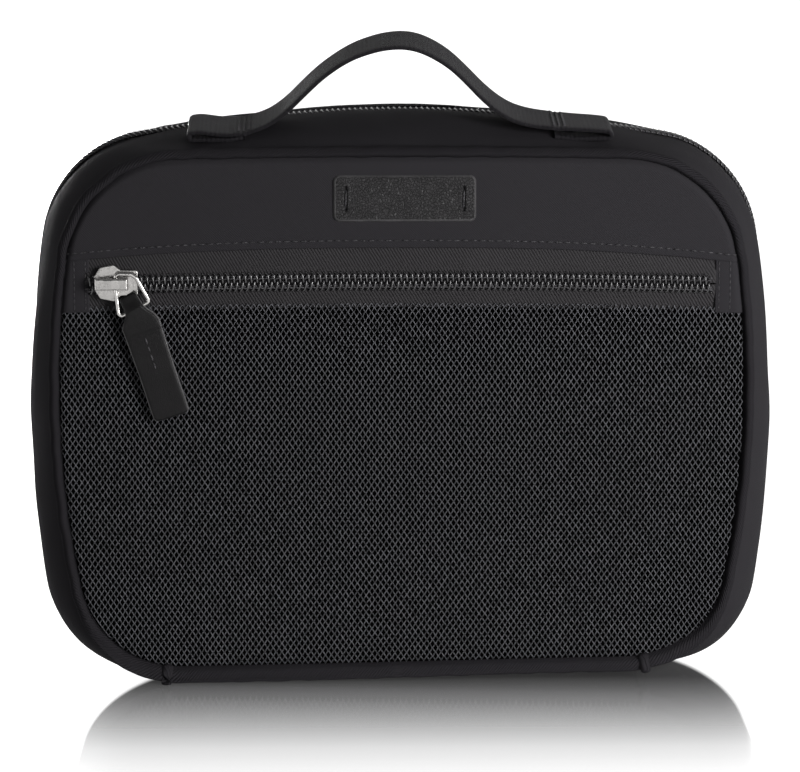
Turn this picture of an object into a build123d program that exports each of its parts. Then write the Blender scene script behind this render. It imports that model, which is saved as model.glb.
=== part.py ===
from build123d import *
import math
import os

# Travel organizer pouch: a soft clamshell case with a net pocket on its front,
# a zip round its top and sides, and a webbing handle.
# Millimetres, X to the right, -Y to the front, +Z up.

# Sizes of the body
HALF_DEPTH = 38.0
ZIP_Y = 9.0
PLATEAU = (0.0, 18.0)
WALL = 2.4
LINING = 0.8
SEAM_X = 84.0
Y_CENTRE = 6.755

# The outline at the front and back seams, and at the widest section
SEAM = dict(half=114.5, wide_z=97.0, low=4.5, high=178.0, low_x=101.5,
            high_x=104.6, high_z=176.5, r_low=34.0, r_high=38.0)
WIDE = dict(half=126.3, wide_z=90.0, low=0.0, high=189.2, low_x=116.0,
            high_x=114.9, high_z=173.7, r_low=33.0, r_high=39.5)

# Depths at which the swelling outline of the gusset is drawn
FRONT_DEPTHS = (-38.0, -36.5, -34.5, -32.0, -29.0, -24.0, -18.0, -10.0, 0.0)
BACK_DEPTHS = (18.0, 25.0, 30.0, 33.0, 35.0, 36.5, 38.0)

# Front pocket, heights on the panel
HEM_Z = 148.3
TAPE_TOP_Z = 147.0
CHAIN_Z = 137.0
TAPE_LOW_Z = 129.0
NET_TOP_Z = 129.4
POCKET_LEFT = -103.6
POCKET_RIGHT = 101.7
CHAIN_HALF = 3.1

# Slider, ring and pull, in the slider's own frame:
# x along the closed chain, y across it, z away from the fabric
SLIDER_X = -94.3
PLATE_LOW = 0.3
PLATE_TOP = 1.3
BRIDGE_LOW = 3.3
BRIDGE_TOP = 4.3
WIRE_R = 0.7
WIRE_Z = 2.3

# Handle
STRAP_Y = -14.5
STRAP_W = 25.0
STRAP_T = 1.7
ARCH_HALF = 33.0
ARCH_FOOT_Z = 197.3
ARCH_TOP_Z = 217.3

# Main slider, on the round lower right corner
CORNER = (89.12, 33.0)
PARK = 40.0


def mix(a, b, f):
    return a + (b - a) * f


def outline(y, swell, low_swell, inset):
    """One closed outline of the case at a depth, moved in by an inset."""
    half = mix(SEAM["half"], WIDE["half"], swell) - inset
    wide_z = mix(SEAM["wide_z"], WIDE["wide_z"], swell)
    low = mix(SEAM["low"], WIDE["low"], low_swell) + inset
    high = mix(SEAM["high"], WIDE["high"], swell) - inset
    low_x = mix(SEAM["low_x"], WIDE["low_x"], swell) - inset
    high_x = mix(SEAM["high_x"], WIDE["high_x"], swell) - inset
    high_z = mix(SEAM["high_z"], WIDE["high_z"], swell) - inset
    r_low = mix(SEAM["r_low"], WIDE["r_low"], swell) - inset
    r_high = mix(SEAM["r_high"], WIDE["r_high"], swell) - inset
    bottom = Line((-low_x, low), (low_x, low))
    right = ThreePointArc((low_x, low), (half, wide_z), (high_x, high_z))
    top = ThreePointArc((high_x, high_z), (0, high), (-high_x, high_z))
    left = ThreePointArc((-high_x, high_z), (-half, wide_z), (-low_x, low))
    face = make_face([bottom, right, top, left])
    lower = face.vertices().sort_by(Axis.Y)[:2]
    face = fillet(lower, r_low)
    face = make_face(face.edges()) if isinstance(face, list) else face
    corners = [v for v in face.vertices() if abs(v.Y - high_z) < 0.01]
    face = fillet(corners, r_high)
    stand = Plane(origin=(0, y, 0), x_dir=(1, 0, 0), z_dir=(0, -1, 0))
    return stand * face


def swell_at(y):
    """How far the outline has swollen from the seam to its widest, 0 to 1."""
    flat = PLATEAU[0] if y <= PLATEAU[0] else PLATEAU[1]
    reach = HALF_DEPTH - abs(flat)
    part = min(1.0, max(0.0, (HALF_DEPTH - abs(y)) / reach))
    return 1.0 - (1.0 - part) ** 2.3


def low_swell_at(y):
    """The same for the bottom, which is flat soon after the seam."""
    part = min(1.0, (HALF_DEPTH - abs(y)) / 9.0)
    return 1.0 - (1.0 - part) ** 2.2


def station(y, inset):
    return outline(y, swell_at(y), low_swell_at(y), inset)


def body_shape(inset):
    """The whole filled case, moved in by an inset on its sides."""
    front = loft([station(y, inset) for y in FRONT_DEPTHS], ruled=True)
    back = loft([station(y, inset) for y in BACK_DEPTHS], ruled=True)
    middle = extrude(outline(PLATEAU[1], 1.0, 1.0, inset), PLATEAU[1] - PLATEAU[0])
    return front + middle + back


def slab(y0, y1):
    """Everything between two depths."""
    return Pos(0, (y0 + y1) / 2, 100) * Box(400, y1 - y0, 400)


def block(x0, x1, y0, y1, z0, z1):
    centre = Pos((x0 + x1) / 2, (y0 + y1) / 2, (z0 + z1) / 2)
    return centre * Box(x1 - x0, y1 - y0, z1 - z0)


def seam_plate(y0, y1, inset):
    """A flat plate with the outline of the front seam."""
    return extrude(outline(y1, 0.0, 0.0, inset), y1 - y0)


def wide_ring(inset_out, inset_in, y0, y1):
    """A straight band that follows the widest outline."""
    outer = extrude(outline(y1, 1.0, 1.0, inset_out), y1 - y0)
    inner = extrude(outline(y1 + 1, 1.0, 1.0, inset_in), y1 - y0 + 2)
    return outer - inner


def arch_part(shape):
    """What runs over the sides and the top, without the stretch of the bottom."""
    return shape - block(-SEAM_X - 0.2, SEAM_X + 0.2, -60, 60, -5, 12)


def bottom_part(shape):
    return shape & block(-SEAM_X + 0.2, SEAM_X - 0.2, -60, 60, -5, 12)


def save(shape, name):
    """Write one named piece, with the middle of the whole at the origin."""
    export_step(Pos(0, -Y_CENTRE, 0) * shape, "parts/" + name + ".step")


def front_panel_parts():
    """Board, woven upper panel, net pocket and patch."""
    board = seam_plate(-37.9, -36.2, 3.2)
    face = seam_plate(-39.3, -38.1, 0.3)
    upper = face & block(-130, 130, -45, -30, HEM_Z, 200)
    net = (seam_plate(-38.9, -38.1, 0.3)) & block(-130, 130, -45, -30, -5, NET_TOP_Z)
    return board, upper, net


def tab(x0, x1, z0, z1):
    """A woven end tab of the pocket zip, cut to the panel's outline."""
    return seam_plate(-39.3, -38.1, 0.3) & block(x0, x1, -45, -30, z0, z1)


def patch():
    plate = Box(47, 1.3, 15.5)
    plate = fillet(plate.edges().filter_by(Axis.Y), 2.0)
    plate = fillet(plate.faces().sort_by(Axis.Y)[0].edges(), 0.3)
    slit = fillet(Box(0.9, 5, 8.5).edges().filter_by(Axis.Y), 0.4)
    for side in (-1, 1):
        plate = plate - Pos(side * 19.4, 0, 0) * slit
    return Pos(0.8, -40.05, 164.5) * plate


def coil(x0, x1, z0, z1, y0, y1):
    bar = block(x0, x1, y0, y1, z0, z1)
    return fillet(bar.edges().filter_by(Axis.X), 0.5)


def slider_body(front_flange):
    """Plate with a wide and a narrow end, flanges, and the bridge for the ring."""
    with BuildLine() as edge:
        FilletPolyline((-7.1, 2.2), (-5.2, 5.2), (-0.6, 6.1), (1.6, 4.3), (7.2, 4.3),
                       (7.2, -4.3), (1.6, -4.3), (-0.6, -6.1), (-5.2, -5.2),
                       (-7.1, -2.2), radius=0.9, close=True)
    plate = extrude(Pos(0, 0, PLATE_LOW) * make_face(edge.edges()), PLATE_TOP - PLATE_LOW)
    plate = fillet(plate.faces().sort_by(Axis.Z)[-1].edges(), 0.3)
    body = plate
    flange = fillet(Box(7.6, 0.7, 1.4).edges().filter_by(Axis.Z), 0.3)
    body = body + Pos(3.2, 3.85, PLATE_LOW - 0.6) * flange
    if front_flange:
        body = body + Pos(3.2, -3.85, PLATE_LOW - 0.6) * flange
    return body + bridge()


def bridge():
    """A low arch along the slider that holds the ring."""
    bar = Pos(-1.4, 0, (BRIDGE_TOP + 1) / 2) * Box(11.0, 4.0, BRIDGE_TOP - 1)
    bar = fillet(bar.faces().sort_by(Axis.Z)[-1].edges(), 0.8)
    hole = Pos(-1.4, 0, (BRIDGE_LOW + 1) / 2) * Box(8.0, 5.0, BRIDGE_LOW - 1)
    hole = fillet(hole.edges().filter_by(Axis.Y), 0.6)
    return bar - hole


def ring_points(lean):
    """Corners of the wire loop; the last two are the ends of its lower bar."""
    if lean:
        return [(0, 3.1), (0, -2.9), (1.0, -11.2), (11.1, -5.9), (6.8, 1.9), (5.2, 3.1)]
    return [(0, 3.1), (0, -3.1), (1.4, -6.5), (1.4, -11.0), (11.8, -11.0), (11.8, -6.0),
            (7.2, 1.4), (5.2, 3.1)]


def ring(lean):
    """Round wire loop through the bridge."""
    with BuildLine() as path:
        FilletPolyline(*[(x, y, WIRE_Z) for x, y in ring_points(lean)],
                       radius=1.1, close=True)
    start = path.wires()[0]
    where = Plane(origin=start @ 0, z_dir=start % 0)
    return sweep(where * Circle(WIRE_R), path=start)


def pull_frame(lean):
    """Frame on the ring's lower bar: x along the bar, y up towards the slider."""
    if lean:
        a, b = (1.0, -11.2), (11.1, -5.9)
    else:
        a, b = (1.4, -11.0), (11.8, -11.0)
    mid = ((a[0] + b[0]) / 2, (a[1] + b[1]) / 2, WIRE_Z)
    return Plane(origin=mid, x_dir=(b[0] - a[0], b[1] - a[1], 0), z_dir=(0, 0, 1))


def pull_neck(lean):
    """Leather between the ring's legs, above the fold."""
    top = 4.6 if lean else 4.4
    half = 2.9 if lean else 2.7
    tongue = Pos(-0.4 if lean else 0, (top + 2.4) / 2, 0) * Box(2 * half, top - 2.4, 1.2)
    tongue = fillet(tongue.edges().filter_by(Axis.Z), 0.5)
    return pull_frame(lean) * tongue


def pull_leather(lean):
    """Leather pull: a knuckle round the bar and a long tapered body."""
    turn = -10.0 if lean else 0.0
    with BuildLine() as edge:
        FilletPolyline((-4.0, 1.0), (-5.6, -3.0), (-6.8, -38.0), (6.8, -38.0),
                       (5.6, -3.0), (4.0, 1.0), radius=0.9, close=True)
    body = extrude(make_face(edge.edges()), 2.2)
    body = fillet(body.faces().sort_by(Axis.Z)[-1].edges(), 0.5)
    body = Pos(0, 0, -1.1) * body
    body = Rot(0, 0, turn) * body
    body = body - Box(20, 4.2, 6)
    knuckle = Rot(0, 90, 0) * Cylinder(2.0, 7.4)
    web = Pos(0, -2.1, 0) * Box(7.4, 1.6, 2.2)
    body = body + knuckle + web
    body = body - Rot(0, 90, 0) * Cylinder(WIRE_R + 0.35, 30)
    return pull_frame(lean) * body


def pocket_place():
    """The slider's own frame on the front panel."""
    return Plane(origin=(SLIDER_X, -40.1, CHAIN_Z), x_dir=(1, 0, 0), z_dir=(0, -1, 0))


def corner_place():
    """The main slider's own frame on the lower right corner."""
    a = math.radians(PARK)
    r = WIDE["r_low"]
    origin = (CORNER[0] + r * math.sin(a), ZIP_Y, CORNER[1] - r * math.cos(a))
    along = (math.cos(a), 0, math.sin(a))
    out = (math.sin(a), 0, -math.cos(a))
    return Plane(origin=origin, x_dir=along, z_dir=out)


def strap_section(x, z, tilt, slope, thick):
    """One cross-section of the webbing."""
    run = Vector(math.cos(math.radians(slope)), 0, math.sin(math.radians(slope)))
    across = Vector(0, math.cos(math.radians(tilt)), math.sin(math.radians(tilt)))
    plane = Plane(origin=(x, STRAP_Y, z), x_dir=across, z_dir=run)
    return plane * Rectangle(STRAP_W, thick)


def handle_end(side):
    """Sewn-down end of the handle, up to where the arch begins."""
    rows = [(70.5, 186.2, 13.0, 172.0, 3.4), (60.0, 187.1, 13.0, 175.0, 3.4),
            (51.5, 188.0, 12.5, 173.0, 3.4), (49.5, 187.7, 12.0, 165.0, STRAP_T),
            (42.0, 190.0, 8.0, 150.0, STRAP_T), (ARCH_HALF + 0.3, 196.1, 1.0, 180.0, 2.2)]
    shape = loft([strap_section(*row) for row in rows], ruled=True)
    if side < 0:
        shape = mirror(shape, about=Plane.YZ)
    return shape


def handle_arch():
    """The free arch of the handle, as one bent strip."""
    outer = ThreePointArc((-ARCH_HALF, ARCH_FOOT_Z), (0, ARCH_TOP_Z), (ARCH_HALF, ARCH_FOOT_Z))
    low = STRAP_T
    inner = ThreePointArc((ARCH_HALF, ARCH_FOOT_Z - 2.2), (0, ARCH_TOP_Z - low),
                          (-ARCH_HALF, ARCH_FOOT_Z - 2.2))
    right = Line((ARCH_HALF, ARCH_FOOT_Z), (ARCH_HALF, ARCH_FOOT_Z - 2.2))
    left = Line((-ARCH_HALF, ARCH_FOOT_Z - 2.2), (-ARCH_HALF, ARCH_FOOT_Z))
    face = make_face([outer, right, inner, left])
    stand = Plane(origin=(0, STRAP_Y + STRAP_W / 2, 0), x_dir=(1, 0, 0), z_dir=(0, -1, 0))
    return extrude(stand * face, STRAP_W)


def save_halves():
    """Shells, bands, linings and panels of both halves."""
    outer = body_shape(0.0)
    inner = body_shape(WALL)
    lining_out = body_shape(WALL + 0.2)
    lining_in = body_shape(WALL + 0.2 + LINING)
    shell = outer - inner
    front_shell = shell & slab(-34.4, 3.4)
    back_shell = shell & slab(14.6, 34.4)
    save(arch_part(front_shell), "front_gusset")
    save(arch_part(back_shell), "rear_gusset")
    bottom = bottom_part(shell)
    save(bottom & slab(-34.4, ZIP_Y - 0.3), "front_bottom_gusset")
    save(bottom & slab(ZIP_Y + 0.3, 34.4), "rear_bottom_gusset")
    core = seam_plate(-50, 50, 2.9)
    save((outer & slab(-38.0, -34.6)) - core, "front_edge_band")
    save((outer & slab(34.6, 38.0)) - core, "rear_edge_band")
    front_tub = (lining_out & slab(-34.3, 3.4)) - (lining_in & slab(-33.5, 4))
    back_tub = (lining_out & slab(14.6, 34.3)) - (lining_in & slab(14, 33.5))
    save(front_tub, "front_lining")
    save(back_tub, "rear_lining")


def save_panels():
    board, upper, net = front_panel_parts()
    save(board, "front_board")
    save(upper, "upper_panel")
    save(net, "net_pocket")
    save(seam_plate(36.2, 37.9, 3.2), "rear_board")
    save(seam_plate(38.1, 39.1, 0.3), "rear_panel")
    save(patch(), "leather_patch")


def save_pocket_zip():
    save(tab(-120, POCKET_LEFT - 0.1, NET_TOP_Z + 0.2, HEM_Z - 0.2), "end_tab_left")
    save(tab(POCKET_RIGHT + 0.1, 120, NET_TOP_Z + 0.2, HEM_Z - 0.2), "end_tab_right")
    upper_tape = block(POCKET_LEFT, POCKET_RIGHT, -38.7, -38.1, CHAIN_Z + 0.1, HEM_Z - 0.2)
    lower_tape = block(POCKET_LEFT, POCKET_RIGHT, -38.7, -38.1, NET_TOP_Z + 0.2, CHAIN_Z - 0.1)
    save(upper_tape, "pocket_tape_upper")
    save(lower_tape, "pocket_tape_lower")
    left = POCKET_LEFT + 0.6
    right = POCKET_RIGHT - 0.6
    save(coil(left, right, CHAIN_Z + 0.15, CHAIN_Z + CHAIN_HALF, -40.1, -38.75), "pocket_coil_upper")
    save(coil(left, right, CHAIN_Z - CHAIN_HALF, CHAIN_Z - 0.15, -40.1, -38.75), "pocket_coil_lower")
    place = pocket_place()
    save(place * slider_body(True), "pocket_slider")
    save(place * ring(True), "pocket_ring")
    save(place * pull_neck(True), "pocket_pull_neck")
    save(place * pull_leather(True), "pocket_pull")


def save_main_zip():
    tape_front = arch_part(wide_ring(1.65, 2.2, 3.5, ZIP_Y - 0.15))
    tape_back = arch_part(wide_ring(1.65, 2.2, ZIP_Y + 0.15, 14.5))
    coil_front = arch_part(wide_ring(0.1, 1.6, ZIP_Y - 3.1, ZIP_Y - 0.15))
    coil_back = arch_part(wide_ring(0.1, 1.6, ZIP_Y + 0.15, ZIP_Y + 3.1))
    parking = block(SEAM_X - 1, 119.5, -60, ZIP_Y, -5, 16.0)
    save(tape_front - parking, "main_tape_front")
    save(tape_back, "main_tape_rear")
    save(coil_front - parking, "main_coil_front")
    save(coil_back, "main_coil_rear")
    place = corner_place()
    save(place * slider_body(False), "main_slider")
    save(place * ring(False), "main_ring")
    save(place * pull_neck(False), "main_pull_neck")
    droop = Pos(0, -11.0, WIRE_Z) * Rot(5, 0, 0) * Pos(0, 11.0, -WIRE_Z)
    save(place * (droop * pull_leather(False)), "main_pull")


def save_ribs():
    """Short raised seams where the bottom meets the side gussets."""
    raised = body_shape(-1.0) & block(-200, 200, -60, 60, 0, 12)
    skin = raised - body_shape(-0.05)
    for side, word in ((-1, "left"), (1, "right")):
        strip = block(side * SEAM_X - 1.75, side * SEAM_X + 1.75, -38.0, -31, -5, 12)
        save(skin & strip, "cross_seam_front_" + word)
        strip = block(side * SEAM_X - 1.75, side * SEAM_X + 1.75, 31, 38.0, -5, 12)
        save(skin & strip, "cross_seam_rear_" + word)


os.makedirs("parts", exist_ok=True)
save_halves()
save_panels()
save_pocket_zip()
save_main_zip()
save_ribs()
save(handle_end(-1), "handle_end_left")
save(handle_end(1), "handle_end_right")
save(handle_arch(), "handle_arch")
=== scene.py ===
"""Travel organizer pouch: the visual model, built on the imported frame."""
import math

import bpy
import numpy as np
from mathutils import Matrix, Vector


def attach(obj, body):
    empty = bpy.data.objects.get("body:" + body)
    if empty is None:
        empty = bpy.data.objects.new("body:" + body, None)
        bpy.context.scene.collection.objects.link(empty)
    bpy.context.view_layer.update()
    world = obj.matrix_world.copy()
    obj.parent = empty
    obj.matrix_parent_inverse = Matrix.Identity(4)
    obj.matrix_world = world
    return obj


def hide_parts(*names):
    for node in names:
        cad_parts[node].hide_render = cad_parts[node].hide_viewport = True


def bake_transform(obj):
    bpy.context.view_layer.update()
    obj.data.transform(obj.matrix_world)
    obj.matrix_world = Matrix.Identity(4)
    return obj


bl_info = {
    "name": "Travel organizer pouch",
    "version": (1, 0, 0),
    "blender": (4, 5, 0),
    "location": "View3D > Sidebar > Pouch",
    "description": "Builds a soft zip pouch with a net pocket and a webbing handle",
    "category": "Object",
}

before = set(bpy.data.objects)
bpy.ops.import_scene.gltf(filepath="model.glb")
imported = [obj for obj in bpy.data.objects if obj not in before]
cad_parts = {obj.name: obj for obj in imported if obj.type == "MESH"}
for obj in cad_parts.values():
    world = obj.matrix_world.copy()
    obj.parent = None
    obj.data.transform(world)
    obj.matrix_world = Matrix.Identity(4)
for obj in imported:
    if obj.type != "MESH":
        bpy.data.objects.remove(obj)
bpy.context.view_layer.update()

MM = 0.001
Y_CENTRE = 6.755
ZIP_Y = 9.0  # depth of the main zip
FRONT_Y = -38.0  # depth of the front seam; the rear seam lies as far behind
TURN_Y = 34.0  # where a gusset turns under the edge roll, front and rear
FRONT_SPLIT, REAR_SPLIT = 3.0, 15.0  # the gussets' edges beside the main zip
LINING_Y = 33.2  # where a lining turns from the gusset onto its panel

# The case's outline at the front seam and at its widest, in millimetres
SEAM = dict(half=114.5, wide_z=97.0, low=4.6, high=178.3, low_x=101.5,
            high_x=104.6, high_z=176.8, r_low=34.0, r_high=38.0)
WIDE = dict(half=126.3, wide_z=90.0, low=0.4, high=189.2, low_x=116.0,
            high_x=114.9, high_z=173.7, r_low=33.0, r_high=39.5)
ARCH_X = 84.0  # the gusset's side part ends this far from the middle
EDGE_OUT = 3.15  # how far the edge roll stands out
SAG = 1.3  # how far the soft edge roll sags along the bottom
HEM_DEPTH = 2.1  # from the hem's edge up to its stitches
LEAN_LIFT = 3.0  # how far the soft lower right front edge stays off the table


# ---- meshes -------------------------------------------------------------

def to_world(points):
    """Millimetres in the drawing frame to metres in the shared frame."""
    p = np.array(points, float).reshape(-1, 3)
    p[:, 2] += (LEAN_LIFT * ease(-95, 112, p[:, 0]) * ease(114, 86, p[:, 0])
                * ease(95, 0, p[:, 2]) * ease(22, -34, p[:, 1]))
    p[:, 1] -= Y_CENTRE
    return p * MM


def piece(name, points, faces, material, body=None):
    """A smooth-shaded mesh object from points in millimetres, riding on a body."""
    mesh = bpy.data.meshes.new(name)
    mesh.from_pydata(to_world(points).tolist(), [],
                     faces.tolist() if isinstance(faces, np.ndarray) else faces)
    mesh.validate()
    mesh.polygons.foreach_set("use_smooth", [True] * len(mesh.polygons))
    mesh.materials.append(material)
    obj = bpy.data.objects.new(name, mesh)
    bpy.context.scene.collection.objects.link(obj)
    if body:
        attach(obj, body)
    return obj


def cloth(name, points, faces, uv, material, body=None, stands_for=(), thick=0.0, side=0):
    """A piece with cloth coordinates in millimetres, one pair per vertex. It stands for
    CAD nodes, and is thickened to one side of its face or the other."""
    obj = piece(name, points, faces, material, body)
    layer = obj.data.uv_layers.new(name="cloth")
    loops = np.zeros(len(obj.data.loops), int)
    obj.data.loops.foreach_get("vertex_index", loops)
    layer.data.foreach_set("uv", np.asarray(uv, float)[loops].ravel())
    if thick:
        solid = obj.modifiers.new("thickness", "SOLIDIFY")
        solid.thickness, solid.offset = thick * MM, side
    if stands_for:
        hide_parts(*stands_for)
    return obj


def grid_faces(rows, cols, close_cols=False):
    """Quads of a grid whose points run along the columns first."""
    c = np.arange(cols if close_cols else cols - 1)
    r, c = np.meshgrid(np.arange(rows - 1) * cols, c, indexing="ij")
    r2, c2 = r + cols, (c + 1) % cols
    return np.stack([r + c, r + c2, r2 + c2, r2 + c], -1).reshape(-1, 4)


def capped_tube(rows, n):
    """Faces of a closed tube from rows of n points, with both ends shut."""
    faces = grid_faces(rows, n, close_cols=True).tolist()
    faces.append(list(range(n)))
    faces.append([(rows - 1) * n + i for i in range(n)][::-1])
    return faces


def join(parts):
    """Several (points, faces) as one."""
    points, faces, start = [], [], 0
    for p, f in parts:
        p = np.asarray(p, float).reshape(-1, 3)
        points.append(p)
        faces += (np.asarray(f) + start).tolist() if isinstance(f, np.ndarray) else [
            [i + start for i in q] for q in f]
        start += len(p)
    return np.concatenate(points), faces


def tube(path, radius, sides=8, flat=1.0, up=(0, 1, 0), caps=True):
    """Points and faces of a round or flattened wire along a path."""
    path = np.asarray(path, float)
    n = len(path)
    along = np.gradient(path, axis=0)
    along /= np.linalg.norm(along, axis=1)[:, None] + 1e-12
    up = np.broadcast_to(np.asarray(up, float), path.shape)
    side = np.cross(along, up)
    bad = np.linalg.norm(side, axis=1) < 1e-6
    side[bad] = (1, 0, 0)
    side /= np.linalg.norm(side, axis=1)[:, None]
    top = np.cross(side, along)
    a = np.arange(sides) * 2 * math.pi / sides
    r = np.broadcast_to(np.asarray(radius, float), (n,))
    ring = (path[:, None, :] + r[:, None, None] * (np.cos(a)[None, :, None] * side[:, None, :]
            + flat * np.sin(a)[None, :, None] * top[:, None, :]))
    faces = grid_faces(n, sides, close_cols=True).tolist()
    if caps:
        faces.append(list(range(sides))[::-1])
        faces.append([(n - 1) * sides + i for i in range(sides)])
    return ring.reshape(-1, 3), faces


def stitches(centres, directions, length, radius, normals):
    """A row of raised stitches, each a short rounded bead of thread."""
    sides, rows = 6, 5
    t = np.linspace(-1, 1, rows)
    size = np.sqrt(np.clip(1 - t ** 4, 0.05, 1))
    a = np.arange(sides) * 2 * math.pi / sides
    c, d, n = (np.asarray(v, float) for v in (centres, directions, normals))
    d = d / np.linalg.norm(d, axis=1)[:, None]
    s = np.cross(d, n)
    s /= np.linalg.norm(s, axis=1)[:, None]
    n = np.cross(s, d)
    c, d, s, n = (v[:, None, None, :] for v in (c, d, s, n))
    around = np.cos(a)[:, None] * s + np.sin(a)[:, None] * n
    p = c + d * (t * length / 2)[:, None, None] + radius * size[:, None, None] * around
    first = (np.arange(len(c)) * rows * sides)[:, None, None]
    ends = np.array([np.arange(sides)[::-1], np.arange(sides) + (rows - 1) * sides])
    faces = (grid_faces(rows, sides, close_cols=True) + first).reshape(-1, 4).tolist()
    faces += (ends + first).reshape(-1, sides).tolist()
    return p.reshape(-1, 3), faces


# ---- the outline of the case -------------------------------------------

def circle_through(a, b, c):
    """Centre and radius of the circle through three points."""
    (ax, ay), (bx, by), (cx, cy) = a, b, c
    d = 2 * (ax * (by - cy) + bx * (cy - ay) + cx * (ay - by))
    ux = ((ax * ax + ay * ay) * (by - cy) + (bx * bx + by * by) * (cy - ay)
          + (cx * cx + cy * cy) * (ay - by)) / d
    uy = ((ax * ax + ay * ay) * (cx - bx) + (bx * bx + by * by) * (ax - cx)
          + (cx * cx + cy * cy) * (bx - ax)) / d
    return ux, uy, math.hypot(ax - ux, ay - uy)


def arc(cx, cz, r, a0, a1, n):
    """Points along an arc, without its last one."""
    a = np.linspace(a0, a1, n, endpoint=False)
    return np.stack([cx + r * np.cos(a), cz + r * np.sin(a)], -1)


# Steps along the floor, the low corner, the side, the high corner and the top
COUNTS = (26, 26, 40, 30, 34)


def half_outline(s):
    """Right half of an outline, from the bottom centre round to the top centre."""
    sx, sz, sr = circle_through((s["low_x"], s["low"]), (s["half"], s["wide_z"]),
                                (s["high_x"], s["high_z"]))
    tx, tz, tr = circle_through((-s["high_x"], s["high_z"]), (0, s["high"]),
                                (s["high_x"], s["high_z"]))
    rl, rh = s["r_low"], s["r_high"]
    lz = s["low"] + rl
    lx = sx + math.sqrt((sr - rl) ** 2 - (lz - sz) ** 2)
    d = math.hypot(tx - sx, tz - sz)
    a = ((sr - rh) ** 2 - (tr - rh) ** 2 + d * d) / (2 * d)
    h = math.sqrt((sr - rh) ** 2 - a * a)
    ex, ez = (tx - sx) / d, (tz - sz) / d
    options = [(sx + a * ex + k * h * ez, sz + a * ez - k * h * ex) for k in (1, -1)]
    hx, hz = max(options)
    a_low = math.atan2(lz - sz, lx - sx)
    a_side = math.atan2(hz - sz, hx - sx)
    a_top = math.atan2(hz - tz, hx - tx)
    flat = np.stack([np.linspace(0, lx, COUNTS[0], endpoint=False),
                     np.full(COUNTS[0], s["low"])], -1)
    return np.concatenate([
        flat, arc(lx, lz, rl, -math.pi / 2, a_low, COUNTS[1]),
        arc(sx, sz, sr, a_low, a_side, COUNTS[2]),
        arc(hx, hz, rh, a_side, a_top, COUNTS[3]),
        arc(tx, tz, tr, a_top, math.pi / 2, COUNTS[4] + 1)[:COUNTS[4]],
        [[0, s["high"]]]])


def swell_at(y, power=2.3):
    """How far the outline has swollen from its seam, 0 to 1, at a depth."""
    flat = 0.0 if y <= 0 else 18.0 if y >= 18 else y
    reach = 38.0 - abs(flat)
    part = min(1.0, max(0.0, (38.0 - abs(y)) / reach))
    return 1.0 - (1.0 - part) ** power


def low_swell_at(y):
    """The same for the bottom, which is flat sooner."""
    part = min(1.0, max(0.0, (38.0 - abs(y)) / 9.0))
    return 1.0 - (1.0 - part) ** 2.2


def section(y):
    """Closed outline at a depth: points (x, z) and outward normals, one per step."""
    f, full = swell_at(y), swell_at(y, 3.4)
    part = {"low": low_swell_at(y), "low_x": full}
    s = {k: SEAM[k] + (WIDE[k] - SEAM[k]) * part.get(k, f) for k in SEAM}
    right = half_outline(s)
    left = right[-2:0:-1] * (-1, 1)
    p = np.concatenate([right, left])
    t = np.roll(p, -1, 0) - np.roll(p, 1, 0)
    n = np.stack([t[:, 1], -t[:, 0]], -1)
    return p, n / np.linalg.norm(n, axis=1)[:, None]


HALF_N = sum(COUNTS)
LOOP_N = 2 * HALF_N
SECTIONS = {}


def outline_at(y):
    """The outline at a depth, worked out once: points (x, z) and outward normals."""
    key = round(y, 3)
    if key not in SECTIONS:
        SECTIONS[key] = section(y)
    return SECTIONS[key]


def ease(a, b, v):
    """0 up to a, 1 from b on, and a soft curve between them."""
    t = np.clip((np.asarray(v, float) - a) / (b - a), 0, 1)
    return t * t * (3 - 2 * t)


# ---- materials ----------------------------------------------------------

def colour(text, level=1.0):
    """sRGB hex to a linear colour."""
    c = [int(text[i:i + 2], 16) / 255 for i in (1, 3, 5)]
    c = [v / 12.92 if v <= 0.04045 else ((v + 0.055) / 1.055) ** 2.4 for v in c]
    return [min(1.0, v * level) for v in c] + [1.0]


def start(name, **constants):
    """A material with one surface shader, whose own sockets hold the constants."""
    mat = bpy.data.materials.new(name)
    mat.use_nodes = True
    shader = mat.node_tree.nodes["Principled BSDF"]
    for key, value in constants.items():
        shader.inputs[key.replace("_", " ")].default_value = value
    return mat, mat.node_tree, shader


def node(tree, kind, inputs=None, **settings):
    """Adds one node with its settings and links, and gives back its first output, or for
    an output node the node itself."""
    n = tree.nodes.new("ShaderNode" + kind)
    for key, value in settings.items():
        setattr(n, key, value)
    for key, value in (inputs or {}).items():
        if isinstance(value, bpy.types.NodeSocket):
            tree.links.new(value, n.inputs[key])
        else:
            n.inputs[key].default_value = value
    if not n.outputs:
        return n
    return n.outputs[2] if kind == "Mix" else n.outputs[0]


def dress(tree, shader, **sources):
    """Links the surface shader's sockets to what drives them."""
    for key, source in sources.items():
        tree.links.new(source, shader.inputs[key.replace("_", " ")])


def ribs(tree, u, v, slope, pitch_mm):
    """0 to 1 and back once per pitch, along u sheared by v."""
    along = node(tree, "Math", {0: v, 1: slope, 2: u}, operation="MULTIPLY_ADD")
    turn = node(tree, "Math", {0: along, 1: math.tau / pitch_mm}, operation="MULTIPLY")
    wave = node(tree, "Math", {0: turn}, operation="SINE")
    return node(tree, "Math", {0: wave, 1: 0.5, 2: 0.5}, operation="MULTIPLY_ADD")


def cloth_axes(tree):
    """Cloth coordinates in millimetres: both together, and each on its own."""
    uv = node(tree, "UVMap", uv_map="cloth")
    apart = node(tree, "SeparateXYZ", {0: uv}).node
    return uv, apart.outputs[0], apart.outputs[1]


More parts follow.
